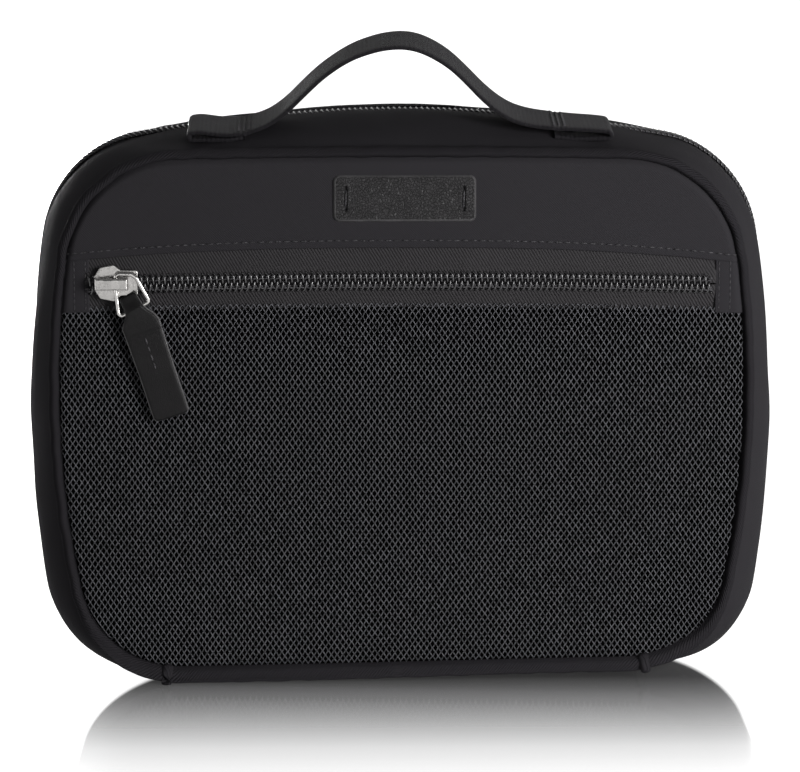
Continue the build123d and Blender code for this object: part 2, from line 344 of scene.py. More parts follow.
def woven(name, tint, pitch, slope, depth, rough, contrast=0.4, cross=0.52, glint=0.015):
    """Yarns of a woven cloth: ribs at a slope, broken by the yarns that cross them,
    with loose fibres and a slow change of tone from wear and handling. The ribs' tops
    are painted lighter and their grooves darker: painted highlight and shade."""
    mat, tree, shader = start(name, Roughness=rough, Specular_IOR_Level=glint)
    uv, u, v = cloth_axes(tree)
    drift = node(tree, "TexNoise", {"Vector": uv, "Scale": 0.7, "Detail": 2.0})
    u = node(tree, "Math", {0: drift, 1: 0.5 * pitch, 2: u}, operation="MULTIPLY_ADD")
    rib = ribs(tree, u, v, slope, pitch)
    yarn = ribs(tree, u, v, -1.0 / max(slope, 0.2), pitch * cross)
    height = node(tree, "Math", {0: yarn, 1: 0.4, 2: rib}, operation="MULTIPLY_ADD")
    fibre = node(tree, "TexNoise", {"Vector": uv, "Scale": 1.6, "Detail": 4.0, "Roughness": 0.75})
    wear = node(tree, "TexNoise", {"Vector": uv, "Scale": 0.045, "Detail": 3.0})
    # Painted highlight and shade: the ribs' tops are lighter in colour and their grooves darker,
    # following the ribs' relief
    lit = node(tree, "Math", {0: rib, 1: 0.9, 2: -0.45}, operation="MULTIPLY_ADD")
    tone = node(tree, "Math", {0: fibre, 1: 1.0, 2: lit}, operation="ADD")
    yarns = node(tree, "Mix", {0: tone, 6: colour(tint, 1 - contrast),
                               7: colour(tint, 1 + contrast)}, data_type="RGBA")
    worn = node(tree, "MapRange", {0: wear, 1: 0.4, 2: 0.66, 3: 0.0, 4: 0.3})
    fuzz = node(tree, "Bump", {"Height": fibre, "Distance": 0.05 * MM, "Strength": 0.5})
    dress(tree, shader,
          Base_Color=node(tree, "Mix", {0: worn, 6: yarns, 7: colour(tint, 1.5)}, data_type="RGBA"),
          Normal=node(tree, "Bump", {"Height": height, "Distance": depth * MM, "Strength": 0.8,
                                     "Normal": fuzz}))
    return mat


def spun(name, tint, rough, grain_per_m):
    """Twisted yarn or thread: short flecks where the twist catches the light, painted
    into the base colour as glints; on the foam board they stand for its grain.
    """
    mat, tree, shader = start(name, Roughness=rough, Specular_IOR_Level=0.12)
    where = node(tree, "TexCoord").node.outputs["Object"]
    glint_and_grain_fleck = node(tree, "TexNoise", {"Vector": where, "Scale": grain_per_m, "Detail": 2.0})
    # Painted glints: the flecks are lighter in colour where the twist would catch the light
    lit = node(tree, "MapRange", {0: glint_and_grain_fleck, 1: 0.38, 2: 0.62})
    dress(tree, shader,
          Base_Color=node(tree, "Mix", {0: lit, 6: colour(tint, 0.3), 7: colour(tint, 1.9)},
                          data_type="RGBA"),
          Normal=node(tree, "Bump", {"Height": glint_and_grain_fleck, "Distance": 0.05 * MM, "Strength": 0.6}))
    return mat


def drawn_coil(name, tint):
    """Extruded filament, wound and heat-set: smooth, so every bend holds a highlight."""
    mat, tree, shader = start(name, Specular_IOR_Level=0.6, IOR=1.55)
    where = node(tree, "TexCoord").node.outputs["Object"]
    scuff = node(tree, "TexNoise", {"Vector": where, "Scale": 900.0, "Detail": 3.0})
    dress(tree, shader,
          Roughness=node(tree, "MapRange", {0: scuff, 1: 0.3, 2: 0.7, 3: 0.14, 4: 0.28}),
          Base_Color=node(tree, "Mix", {0: scuff, 6: colour(tint, 0.8), 7: colour(tint, 1.25)},
                          data_type="RGBA"))
    return mat


def hide(name, tint, cell_mm, depth, rough, glint):
    """Dyed cowhide: raised cells between creases that are painted dark as shade, and
    fine pores that break up the wax's gloss."""
    mat, tree, shader = start(name, Specular_IOR_Level=glint)
    uv = node(tree, "UVMap", uv_map="cloth")
    bend = node(tree, "TexNoise", {"Vector": uv, "Scale": 0.6, "Detail": 2.0}).node.outputs["Color"]
    where = node(tree, "VectorMath", {0: bend, 1: (0.8, 0.8, 0.0), 2: uv}, operation="MULTIPLY_ADD")
    cells = node(tree, "TexVoronoi", {"Vector": where, "Scale": 1.0 / cell_mm},
                 feature="DISTANCE_TO_EDGE")
    pebble = node(tree, "MapRange", {0: cells, 1: 0.0, 2: 0.2})
    pore = node(tree, "TexNoise", {"Vector": uv, "Scale": 8.0, "Detail": 4.0, "Roughness": 0.65})
    broad = node(tree, "TexNoise", {"Vector": uv, "Scale": 0.2, "Detail": 3.0})
    # Painted shade: the creases between the cells are darker in colour than the cells' tops
    base = node(tree, "Mix", {0: pebble, 6: colour(tint, 0.45), 7: colour(tint)}, data_type="RGBA")
    worn = node(tree, "MapRange", {0: broad, 1: 0.35, 2: 0.7, 3: 0.0, 4: 0.4})
    fine = node(tree, "Bump", {"Height": pore, "Distance": 0.04 * MM, "Strength": 0.6})
    dress(tree, shader,
          Base_Color=node(tree, "Mix", {0: worn, 6: base, 7: colour(tint, 1.6)}, data_type="RGBA"),
          Roughness=node(tree, "MapRange", {0: pore, 1: 0.3, 2: 0.7, 3: rough - 0.08,
                                            4: rough + 0.12}),
          Normal=node(tree, "Bump", {"Height": pebble, "Distance": depth * MM, "Strength": 0.8,
                                     "Normal": fine}))
    return mat


def plated(name, tint, rough):
    """Nickel plate over a tumbled casting or drawn wire: bright, with faint
    ripples of the metal under it and fine rub marks."""
    mat, tree, shader = start(name, Metallic=1.0)
    where = node(tree, "TexCoord").node.outputs["Object"]
    ripple = node(tree, "TexNoise", {"Vector": where, "Scale": 260.0, "Detail": 3.0})
    rub = node(tree, "TexNoise", {"Vector": where, "Scale": 1500.0, "Detail": 4.0,
                                  "Roughness": 0.7})
    dress(tree, shader,
          Base_Color=node(tree, "Mix", {0: ripple, 6: colour(tint, 0.8), 7: colour(tint)},
                          data_type="RGBA"),
          Roughness=node(tree, "MapRange", {0: rub, 1: 0.3, 2: 0.75, 3: rough - 0.06,
                                            4: rough + 0.14}),
          Normal=node(tree, "Bump", {"Height": ripple, "Distance": 0.5 * MM, "Strength": 0.8}))
    return mat


def painted_table(name, tint):
    """Gloss-lacquered board: pale and even, with an image of what stands close that
    fades outward. Light Path lifts the paint to white for the camera, and the
    shadow stays on it. Distances are in metres."""
    mat, tree, shader = start(name, Roughness=0.45, Specular_IOR_Level=0.2,
                              Emission_Color=(1, 1, 1, 1))
    where = node(tree, "TexCoord").node.outputs["Object"]
    grain = node(tree, "TexNoise", {"Vector": where, "Scale": 3.0, "Detail": 3.0})
    # The mirror image fades within 135 mm of the case's footprint
    size = node(tree, "VectorMath", {0: where}, operation="ABSOLUTE")
    past = node(tree, "VectorMath", {0: size, 1: (0.105, 0.040, 0.0)}, operation="SUBTRACT")
    past = node(tree, "VectorMath", {0: past, 1: (0.0, 0.0, 0.0)}, operation="MAXIMUM")
    away = node(tree, "VectorMath", {0: past}, operation="LENGTH").node.outputs["Value"]
    out = node(tree, "MapRange", {0: away, 1: 0.0, 2: 0.135, 3: 0.0, 4: 1.0})
    # Nothing is mirrored behind the case's front edge, nor past its round lower corners
    apart = node(tree, "SeparateXYZ", {0: where}).node
    off = node(tree, "Math", {0: apart.outputs["X"], 1: 0.004}, operation="SUBTRACT")
    off = node(tree, "Math", {0: off}, operation="ABSOLUTE")
    deep = node(tree, "Math", {0: apart.outputs["X"], 1: -0.13, 2: apart.outputs["Y"]},
                operation="MULTIPLY_ADD")
    place = node(tree, "CombineXYZ", {0: off, 1: deep})
    place = node(tree, "VectorMath", {0: place, 1: (0.073, -0.1, 0.0)}, operation="SUBTRACT")
    place = node(tree, "VectorMath", {0: place, 1: (0.0, 0.0, 0.0)}, operation="MAXIMUM")
    place = node(tree, "VectorMath", {0: place, 1: (0.033, 0.08, 1.0)}, operation="DIVIDE")
    turned = node(tree, "VectorMath", {0: place}, operation="LENGTH").node.outputs["Value"]
    behind = node(tree, "MapRange", {0: turned, 1: 0.96, 2: 1.03, 3: 0.0, 4: 1.0})
    far = node(tree, "Math", {0: out, 1: behind}, operation="MAXIMUM")
    ray = node(tree, "LightPath").node
    seen = node(tree, "Math", {0: ray.outputs["Is Camera Ray"], 1: ray.outputs["Is Glossy Ray"]},
                operation="MAXIMUM")
    glow = node(tree, "MapRange", {0: far, 1: 0.0, 2: 0.6, 3: 0.25, 4: 1.0})
    dress(tree, shader,
          Base_Color=node(tree, "Mix", {0: grain, 6: colour(tint, 0.97), 7: colour(tint)},
                          data_type="RGBA"),
          Emission_Strength=node(tree, "Math", {0: glow, 1: seen}, operation="MULTIPLY"))
    gloss = node(tree, "BsdfGlossy", {"Color": (1, 1, 1, 1), "Roughness": 0.12})
    share = node(tree, "MapRange", {0: far, 1: 0.0, 2: 1.0, 3: 0.9, 4: 0.0})
    both = node(tree, "MixShader", {0: share, 1: shader.outputs[0], 2: gloss})
    tree.links.new(both, tree.nodes["Material Output"].inputs["Surface"])
    return mat


# ---- shared shapes ------------------------------------------------------

def ripples(u, v, seed, size, count=7):
    """Soft unevenness from -1 to 1 with features of about one size, in millimetres."""
    rng = np.random.default_rng(seed)
    total = 0.0
    for _ in range(count):
        a = rng.uniform(0, math.tau)
        k = math.tau / (size * rng.uniform(0.7, 1.8))
        total = total + np.sin(k * (np.cos(a) * u + np.sin(a) * v) + rng.uniform(0, math.tau))
    return total / count ** 0.5 / 1.6


def arch_range():
    """Steps of the loop from the bottom right, over the top, to the bottom left."""
    p = section(-36.0)[0]
    right = int(np.argmin(np.abs(p[:HALF_N // 2, 0] - ARCH_X)))
    return np.arange(right, LOOP_N - right + 1)


def bottom_range():
    """Steps of the loop along the bottom, left to right."""
    first = arch_range()[0]
    return np.arange(-first, first + 1)


def steps_length():
    """Distance round the widest outline at each step of the loop."""
    p = section(0.0)[0]
    step = np.linalg.norm(np.roll(p, -1, 0) - p, axis=1)
    return np.concatenate([[0], np.cumsum(step)[:-1]])


def lip(x, out):
    """How far the lowest edge leans out over the table, most at the lower left."""
    return (1.0 + 2.2 * ease(60, -60, x)) * ease(1.4, 3.0, out)


def shell(name, rows, ids, material, body=None, stands_for=(), wave=0.0, seed=1,
          pucker=(), sag=0.0):
    """Cloth laid round the case. Each row is (outline depth, push out, depth it is
    set at); ids are the loop steps that it covers. It puckers near its seams' depths,
    and its lowest part may sag."""
    length = steps_length()
    total = length[-1]
    u = length[ids % LOOP_N] + np.where(ids < 0, -total, 0) + np.where(ids >= LOOP_N, total, 0)
    v, points, uv, last = 0.0, [], [], None
    for k, (y, out, at) in enumerate(rows):
        if last is not None:
            v += math.hypot(at - last[1], 1.3 * (reach(y) + out - last[0]))
        last = (reach(y) + out, at)
        fade = math.sin(math.pi * k / (len(rows) - 1)) ** 0.6
        near = math.exp(-min(abs(at - c) for c in pucker) / 3.0)
        p, n = (grid[ids % LOOP_N] for grid in outline_at(y))
        push = (out + wave * fade * ripples(u, np.full(len(u), v), seed, 34.0)
                + 0.3 * near * ripples(u, u * 0, seed + 9, 9.0, 5)
                + sag * ease(0.2, 1.0, -n[:, 1]) * max(out, 0.0) / EDGE_OUT)
        x, z = (p + n * push[:, None]).T
        depth = np.full(len(u), float(at))
        if sag:
            depth += math.copysign(1, at) * lip(x, out) * ease(0.4, 1.0, -n[:, 1])
        points.append(np.stack([x, depth, z], -1))
        uv.append(np.stack([u, np.full(len(u), v)], -1))
    obj = cloth(name, np.concatenate(points), grid_faces(len(rows), len(ids)),
                np.concatenate(uv), material, body, stands_for)
    face_outward(obj)
    return obj


def reach(y):
    """How far the side has swollen out from the seam at a depth."""
    return swell_at(y) * (WIDE["half"] - SEAM["half"])


def face_outward(obj):
    """Turns the faces outward from the middle of the case."""
    mesh, centre = obj.data, (0.0, 0.0, 0.095)
    c = np.zeros(len(mesh.polygons) * 3)
    d = np.zeros(len(mesh.polygons) * 3)
    mesh.polygons.foreach_get("center", c)
    mesh.polygons.foreach_get("normal", d)
    if np.einsum("ij,ij->i", c.reshape(-1, 3) - centre, d.reshape(-1, 3)).sum() < 0:
        mesh.flip_normals()


# The edge roll's section, from the seam over its face and back under: (push out, depth)
BAND = [(FRONT_Y, out, at) for out, at in (
    (-1.8, -36.2), (-0.9, -36.5), (-0.3, -37.3), (0.0, -38.3), (0.4, -39.1), (1.0, -39.5),
    (1.6, -39.4), (2.0, -39.0), (2.3, -38.75), (2.7, -38.3), (3.0, -37.4), (EDGE_OUT, -36.2),
    (EDGE_OUT, -35.0), (2.9, -34.1), (2.3, -33.5), (1.4, -33.2))]


def outline_distance(x, z):
    """How far inside the front outline each point is."""
    p = outline_at(FRONT_Y)[0]
    x, z = np.asarray(x, float).ravel(), np.asarray(z, float).ravel()
    best = np.full(x.shape, 1e9)
    a, b = p, np.roll(p, -1, 0)
    batch = 4000
    for i in range(0, len(x), batch):
        q = np.stack([x[i:i + batch], z[i:i + batch]], -1)[:, None, :]
        t = np.clip(((q - a) * (b - a)).sum(-1) / ((b - a) ** 2).sum(-1), 0, 1)
        near = a + t[..., None] * (b - a)
        best[i:i + batch] = np.linalg.norm(q - near, axis=-1).min(1)
    return best


def dome(x, z):
    """Swell of a panel, 0 at its edge to 1 in its middle."""
    return np.clip(1 - (x / 116) ** 2, 0, 1) * np.clip(1 - ((z - 92) / 90) ** 2, 0, 1)


def panel_y(x, z):
    """Depth of the front panel's face: slightly domed, turned down into its seam."""
    x, z = np.broadcast_arrays(np.asarray(x, float), np.asarray(z, float))
    inside = outline_distance(x, z).reshape(x.shape)
    return -36.8 - 1.45 * np.sqrt(ease(0.2, 2.4, inside)) - 0.55 * dome(x, z)


def edge_height(x, upper=True, inset=0.0, y=FRONT_Y):
    """Height of an outline above or below a place."""
    p, n = outline_at(y)
    q = (p - n * inset)[:HALF_N + 1]
    widest = int(np.argmax(q[:, 0]))
    q = q[widest:][::-1] if upper else q[:widest + 1]
    return np.interp(np.abs(x), q[:, 0], q[:, 1])


def half_width(z, inset=0.0):
    """Half width of the front outline at a height."""
    p, n = outline_at(FRONT_Y)
    q = (p - n * inset)[:HALF_N + 1]
    return np.interp(z, q[:, 1], q[:, 0])


def panel(name, lower, upper, columns, rows, depth, material, body, half,
          stands_for=(), wave=0.0, seed=3):
    """A cloth panel between two curves over x, with its depth from a function."""
    s = np.linspace(-1, 1, columns)
    x = (np.sin(s * math.pi / 2) * 0.5 + s * 0.5) * half
    t = np.linspace(0, 1, rows)
    t = ease(0, 1, t) * 0.5 + t * 0.5
    lo = lower(x)
    hi = np.maximum(upper(x), lo + 0.01)
    gx = np.broadcast_to(x, (rows, columns))
    gz = lo + (hi - lo) * t[:, None]
    gy = depth(gx, gz) - wave * ripples(gx, gz, seed, 40.0)
    p = np.stack([gx, gy, gz], -1).reshape(-1, 3)
    return cloth(name, p, grid_faces(rows, columns), p[:, [0, 2]], material, body,
                 stands_for)


def hem_z(x):
    """Height of the upper panel's hem."""
    x = np.asarray(x, float)
    return 148.6 - np.where(x < 0, 4.8, 5.8) * (np.abs(x) / 114) ** 2.6


def net_top_z(x):
    """Height of the net's upper edge."""
    x = np.asarray(x, float)
    return 129.3 - np.where(x < 0, 1.0, 1.7) * (np.abs(x) / 114) ** 2


def chain_z(x):
    """Height of the pocket zip's middle."""
    x = np.asarray(x, float)
    return 137.3 - np.where(x < 0, 1.2, 1.3) * (np.abs(x) / 100) ** 2


# ---- zips ---------------------------------------------------------------

ZIP_LEFT, ZIP_RIGHT = -103.8, 102.2  # ends of the pocket zip
PITCH = 1.9  # one turn of a coil


def coil(place, start, stop, side, radius=0.33, sides=6, steps=14):
    """One side of a coil zip: a wire wound in flat loops whose heads cross the
    middle of the chain. place turns (along, across, out) into points."""
    turns = int((stop - start) / PITCH)
    a = np.arange(turns * steps + 1) * math.tau / steps
    shift = 0.0 if side > 0 else PITCH / 2
    along = start + shift + PITCH * a / math.tau + 0.28 * np.sin(a)
    reach_out = 1.42 + 1.62 * np.cos(a)
    across = side * np.where(np.cos(a) < -0.6, reach_out * 1.15, reach_out)
    out = 0.62 * np.sin(a)
    head = 1 + 0.35 * ease(0.55, 1.0, -np.cos(a))
    p = place(along, across, out)
    return tube(p, radius * head, sides, up=np.array(place(along, across, out + 1)) - p)


def thread_rows(place, start, stop, side):
    """The two rows of sewing that hold a coil to its tape."""
    x = np.arange(start, stop, PITCH)
    level = np.full(len(x), 0.5)
    parts = []
    for xs, row in ((x, 1.2), (x + 0.5, 1.95)):
        at = np.full(len(x), side * row)
        c = place(xs, at, level)
        d = place(xs + 0.5, np.full(len(x), side * (row + 0.12)), level) - c
        n = place(xs, at, level + 1) - c
        parts.append(stitches(c, d, 1.75, 0.3, n))
    return join(parts)


def front_chain(along, across, out):
    """The pocket zip's chain on the front panel."""
    x = np.asarray(along, float)
    z = chain_z(x) + across
    return np.stack([x, panel_y(x, chain_z(x)) - 1.05 - out, z], -1)


def zip_rise(x, z):
    """The closed zip stands up a little where it turns the upper corners."""
    return 1.5 * ease(55, 100, np.abs(x)) * ease(100, 150, z)


def main_arc():
    """Length, place and outward normal along the main zip, from the lower right corner."""
    if "arc" not in SECTIONS:
        p, n = (grid[arch_range()] for grid in section(ZIP_Y))
        length = np.cumsum(np.linalg.norm(np.diff(p, axis=0), axis=1))
        SECTIONS["arc"] = (np.concatenate([[0], length]), p, n)
    return SECTIONS["arc"]


def main_chain(along, across, out):
    """The main zip's chain, round the case from the lower right corner."""
    length, p, n = main_arc()
    a = np.asarray(along, float)
    x, z = np.interp(a, length, p[:, 0]), np.interp(a, length, p[:, 1])
    nx, nz = np.interp(a, length, n[:, 0]), np.interp(a, length, n[:, 1])
    push = -0.85 + out + zip_rise(x, z)
    return np.stack([x + nx * push, np.full(a.shape, ZIP_Y) + across, z + nz * push], -1)


class PouchSizes(bpy.types.PropertyGroup):
    """Sizes and colours that a user may change before a rebuild"""
    cloth_tint: bpy.props.StringProperty(
        name="Cloth", description="Colour of the twill, as sRGB hex", default="#1f1e20")
    net_tint: bpy.props.StringProperty(
        name="Net", description="Colour of the net strands, as sRGB hex", default="#414144")
    leather_tint: bpy.props.StringProperty(
        name="Leather", description="Colour of the leather, as sRGB hex", default="#0c0b0c")
    net_strand: bpy.props.FloatProperty(
        name="Net strand", description="Radius of one strand of the net",
        default=0.00021, min=0.0001, max=0.0004, unit="LENGTH")
    coil_wire: bpy.props.FloatProperty(
        name="Coil wire", description="Radius of the zip coil's wire",
        default=0.00033, min=0.0002, max=0.00045, unit="LENGTH")
    softness: bpy.props.FloatProperty(
        name="Softness", description="Depth of the cloth's shallow waves",
        default=0.0004, min=0.0, max=0.001, unit="LENGTH")


MATS = {}


def material(key):
    """Each material, made when it is first asked for. Rib, yarn and pebble sizes are in
    millimetres."""
    if key in MATS:
        return MATS[key]
    look = bpy.context.scene.pouch
    make, name, tint, values = {
        # Matt black with fine diagonal ribs. The real 0.3 mm yarns are drawn at 0.8 mm,
        # because finer ones fall between the render's pixels.
        "twill": (woven, "polyester twill, woven and piece-dyed", look.cloth_tint,
                  dict(pitch=0.8, slope=1.0, depth=0.07, rough=0.72, contrast=0.55)),
        # The same cloth stretched over a roll: its ribs stand further apart, and its tint is darker
        # than the twill's: painted shade
        "edge": (woven, "polyester twill edge, turned and piece-dyed", "#1a191b",
                 dict(pitch=1.25, slope=1.0, depth=0.30, rough=0.75, contrast=0.7)),
        # Dull strands with a painted glint where they cross
        "net": (spun, "polyester net, warp-knitted", look.net_tint,
                dict(rough=0.5, grain_per_m=1800.0)),
        # Almost black, so that the net stands out before it: the black backing cloth, made darker
        # still as painted shade inside the pocket
        "backing": (woven, "polyester backing, plain-woven", "#020202",
                    dict(pitch=0.6, slope=0.2, depth=0.04, rough=0.9, glint=0.02)),
        # Pressed flat: a faint even shine
        "lining": (woven, "polyester lining, plain-woven and calendered", "#242426",
                   dict(pitch=0.6, slope=0.2, depth=0.04, rough=0.55)),
        # Strong slanting ribs, drawn twice as coarse as the real 0.5 mm
        "tape": (woven, "polyester zip tape, woven in herringbone", "#232223",
                 dict(pitch=1.05, slope=0.6, depth=0.3, rough=0.7, contrast=1.0)),
        # Small sharp highlights on every turn
        "coil": (drawn_coil, "polyester coil, extruded and heat-set", "#1a191b", {}),
        # Cross ribs with a soft sheen along the strap
        "webbing": (woven, "polyester webbing, ribbed weave", "#19181a",
                    dict(pitch=1.55, slope=0.0, depth=0.26, rough=0.5, contrast=0.8,
                         cross=0.5, glint=0.03)),
        # Smooth black leather with a low wax shine
        "leather": (hide, "cowhide, dyed and waxed", look.leather_tint,
                    dict(cell_mm=0.5, depth=0.04, rough=0.4, glint=0.14)),
        # Pebbles that catch the light one by one
        "patch": (hide, "cowhide, embossed with a pebble grain and dyed", "#242324",
                  dict(cell_mm=0.9, depth=0.3, rough=0.5, glint=0.2)),
        # Glossy grey line along a cut edge: edge paint, tinted lighter as a painted highlight
        "edge_highlight": (hide, "leather edge, painted and burnished", "#4a494a",
                dict(cell_mm=0.4, depth=0.02, rough=0.3, glint=0.5)),
        # Paler slope round the patch: a painted highlight along its bevel
        "bevel_highlight": (hide, "cowhide, skived at its edge and dyed", "#3b3a3b",
                  dict(cell_mm=0.5, depth=0.04, rough=0.4, glint=0.4)),
        # Bright metal, softened by tumbling
        "metal": (plated, "zinc, die-cast and nickel-plated", "#aaa8a6", dict(rough=0.2)),
        # Mirror-like, as drawn wire is
        "wire": (plated, "steel wire, bent and nickel-plated", "#b4b2b0", dict(rough=0.14)),
        # Painted glints: grey flecks along each stitch
        "thread": (spun, "polyester thread, twisted", "#343335",
                   dict(rough=0.5, grain_per_m=2200.0)),
        # Dull and finely grained
        "board": (spun, "foam board, skived flat", "#3a3a3a",
                  dict(rough=0.9, grain_per_m=800.0)),
    }[key]
    MATS[key] = make(name, tint, **values)
    return MATS[key]


def turned_in(depths, sign):
    """Gusset rows that start under the edge roll."""
    return [(y, -0.35 if sign * y > 34.8 else 0.0, y) for y in depths]


class POUCH_OT_gussets(bpy.types.Operator):
    """Side and bottom gussets with their turned edges and cross seams"""
    bl_idname = "pouch.gussets"
    bl_label = "Gussets"

    def execute(self, context):
        soft = context.scene.pouch.softness / MM
        arch, under = arch_range(), bottom_range()
        depths = [-35.4, -34.4, -33.2, -31.8, -30, -28, -26, -23.5, -21, -18, -15, -12, -9, -6,
                  -3, -1, 1, 2.4, 3.4]
        front = turned_in(depths, -1)
        front += [(3.4, -0.25, 3.9), (3.4, -0.8, 4.0), (3.4, -1.3, 3.4), (3.4, -1.6, 1.0)]
        back = turned_in([35.4, 34.4, 33.2, 31.8, 30, 28, 25.5, 23, 20.5, 18, 16.5, 15.4, 14.6], 1)
        back += [(14.6, -0.25, 14.1), (14.6, -0.8, 14.0), (14.6, -1.3, 14.6), (14.6, -1.6, 17.0)]
        low = depths[:-3] + [2, 5, 8, 9, 10, 13, 16, 18, 20.5, 23, 25.5, 28, 30, 31.8, 33.2,
                             34.4, 35.4]
        low = [(y, -0.35 if abs(y) > 34.8 else 0.0, y) for y in low]
        shell("front_gusset_cloth", front, arch, material("twill"), "front_half",
              ("front_gusset",), soft, 5, (-TURN_Y, FRONT_SPLIT))
        shell("rear_gusset_cloth", back, arch, material("twill"), "rear_half",
              ("rear_gusset",), soft, 6, (TURN_Y, REAR_SPLIT))
        bottom = shell("bottom_gusset_cloth", low, under, material("twill"), None,
                       ("front_bottom_gusset", "rear_bottom_gusset"), soft * 0.4, 7,
                       (-TURN_Y, TURN_Y))
        to_world([(0, REAR_SPLIT, 0)])[0][1]
        to_world([(0, FRONT_SPLIT, 0)])[0][1]
        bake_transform(bottom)
        rear_band = [(-y, out, -at) for y, out, at in BAND]
        for side, band, seed, seams in (("front", BAND, 8, (FRONT_Y, -TURN_Y)),
                                        ("rear", rear_band, 9, (-FRONT_Y, TURN_Y))):
            shell(side + "_edge_roll", band, np.arange(0, LOOP_N + 1), material("edge"),
                  side + "_half", (side + "_edge_band",), 0.0, seed, seams, SAG)
        for word, flip, seam_x in (("right", 1, 81.6), ("left", -1, 79.0)):
            for side, sign, stop in (("front", -1, 4), ("rear", 1, 12)):
                self.cross_seam(word, flip, seam_x, side, sign, stop)
        return {"FINISHED"}

    def cross_seam(self, word, flip, seam_x, side, sign, stop):
        """One bound seam across the bottom: (push out, depth, underneath or not). It runs
        out over the roll's face, round its edge, and back underneath."""
        path = [(-0.9, 37.8, 0), (-0.4, 38.7, 0), (0.4, 39.5, 0), (1.5, 39.85, 0.3),
                (2.6, 39.5, 0.7), (3.2, 38.5, 1), (3.4, 37.0, 1), (3.45, 35.4, 1), (3.5, 34.0, 1)]
        path += [(0.1, y, 1) for y in np.linspace(32.6, stop, 16)]
        rows, ups = [], []
        for out, y, under in path:
            level = round((-FRONT_Y if y > 33 else y) * sign, 3)
            low = float(edge_height(seam_x, False, 0.0, level))
            rise = float(edge_height(seam_x + 1, False, 0.0, level)) - low
            y += float(lip(flip * seam_x, out)) * (y > 33)
            rows.append((flip * (seam_x + rise * out), y * sign, low - out))
            ups.append((flip * rise * under, sign * (1 - under), -under))
        p, f = tube(rows, 1.7, 10, flat=0.55, up=ups)
        p[:, 2] -= 1.1 * ease(33.2, 37.0, np.abs(p[:, 1])) * ease(7.0, 1.5, p[:, 2])
        p[:, 2] = np.maximum(p[:, 2], 0.05)  # pressed flat where the case stands on it
        cloth("cross_seam_%s_%s_cord" % (side, word), p, f, p[:, [1, 0]], material("edge"),
              side + "_half", ("cross_seam_%s_%s" % (side, word),))


def lining_loop(y, out, at, sign, run, length):
    """One loop of a lining, on the gusset or, from -3 mm inward, drawn in over the panel."""
    p, n = section(y)
    if out < -3:
        centre = np.array([0, 95.0])
        shrink = 1 - (-out - 3.0) / 84.0
        q = centre + (p - n * 3.0 - centre) * max(shrink, 0.02)
        depth = at - sign * 0.25 * (ripples(q[:, 0], q[:, 1], 44, 40.0) + 1)
        return np.stack([q[:, 0], depth, q[:, 1]], -1), q + (0, run)
    closing = ease(0, 30, length) * ease(length[-1], length[-1] - 30, length)
    soft = 0.35 * closing * ripples(length, run + length * 0, 40 + sign, 30.0)
    q = p + n * (out + soft)[:, None]
    return (np.stack([q[:, 0], np.full(LOOP_N, at), q[:, 1]], -1),
            np.stack([length, np.full(LOOP_N, run)], -1))


class POUCH_OT_insides(bpy.types.Operator):
    """Rear panel and linings; the linings' thickness stands in for the foam boards between them and
    the panels
    """
    bl_idname = "pouch.insides"
    bl_label = "Rear panel and linings"

    def execute(self, context):
        def rear_y(x, z):
            inside = outline_distance(x, z).reshape(x.shape)
            return 37.0 + 1.3 * np.sqrt(ease(0, 4.5, inside)) + 0.6 * dome(x, z)
        rear = panel("rear_panel_cloth", lambda x: edge_height(x, False, 0.4),
                     lambda x: edge_height(x, True, 0.4), 120, 70, rear_y, material("twill"),
                     "rear_half", half_width(97.0, 0.4), ("rear_panel",), 0.25, 31)
        rear.data.flip_normals()
        length = steps_length()
        for side, sign, edge in (("front", -1, 3.6), ("rear", 1, 14.2)):
            turn = sign * LINING_Y
            rows = [(float(y), -2.9, float(y)) for y in np.linspace(edge, turn, 14)]
            rows += [(turn, -float(inset), sign * (LINING_Y + 0.4))
                     for inset in (3.6, 6, 10, 18, 30, 45, 60, 75, 84)]
            loops = [lining_loop(y, out, at, sign, 2.6 * k, length)
                     for k, (y, out, at) in enumerate(rows)]
            points, uv = (np.concatenate(part) for part in zip(*loops))
            faces = grid_faces(len(rows), LOOP_N, close_cols=True).tolist()
            faces.append([(len(rows) - 1) * LOOP_N + i for i in range(LOOP_N)])
            cloth(side + "_lining_cloth", points, faces, uv, material("lining"),
                  side + "_half", (side + "_lining", side + "_board"), 0.5, 0)
        return {"FINISHED"}


def stitch_line(points, pitch, length, radius, normals):
    """Stitches spaced evenly along a line."""
    p = np.asarray(points, float)
    d = np.concatenate([[0], np.cumsum(np.linalg.norm(np.diff(p, axis=0), axis=1))])
    at = np.arange(pitch * 0.5, d[-1], pitch)
    c = np.stack([np.interp(at, d, p[:, i]) for i in range(3)], -1)
    a = np.stack([np.interp(at + 0.3, d, p[:, i]) for i in range(3)], -1)
    b = np.stack([np.interp(at - 0.3, d, p[:, i]) for i in range(3)], -1)
    n = np.broadcast_to(np.asarray(normals, float), c.shape)
    return stitches(c, a - b, length, radius, n)


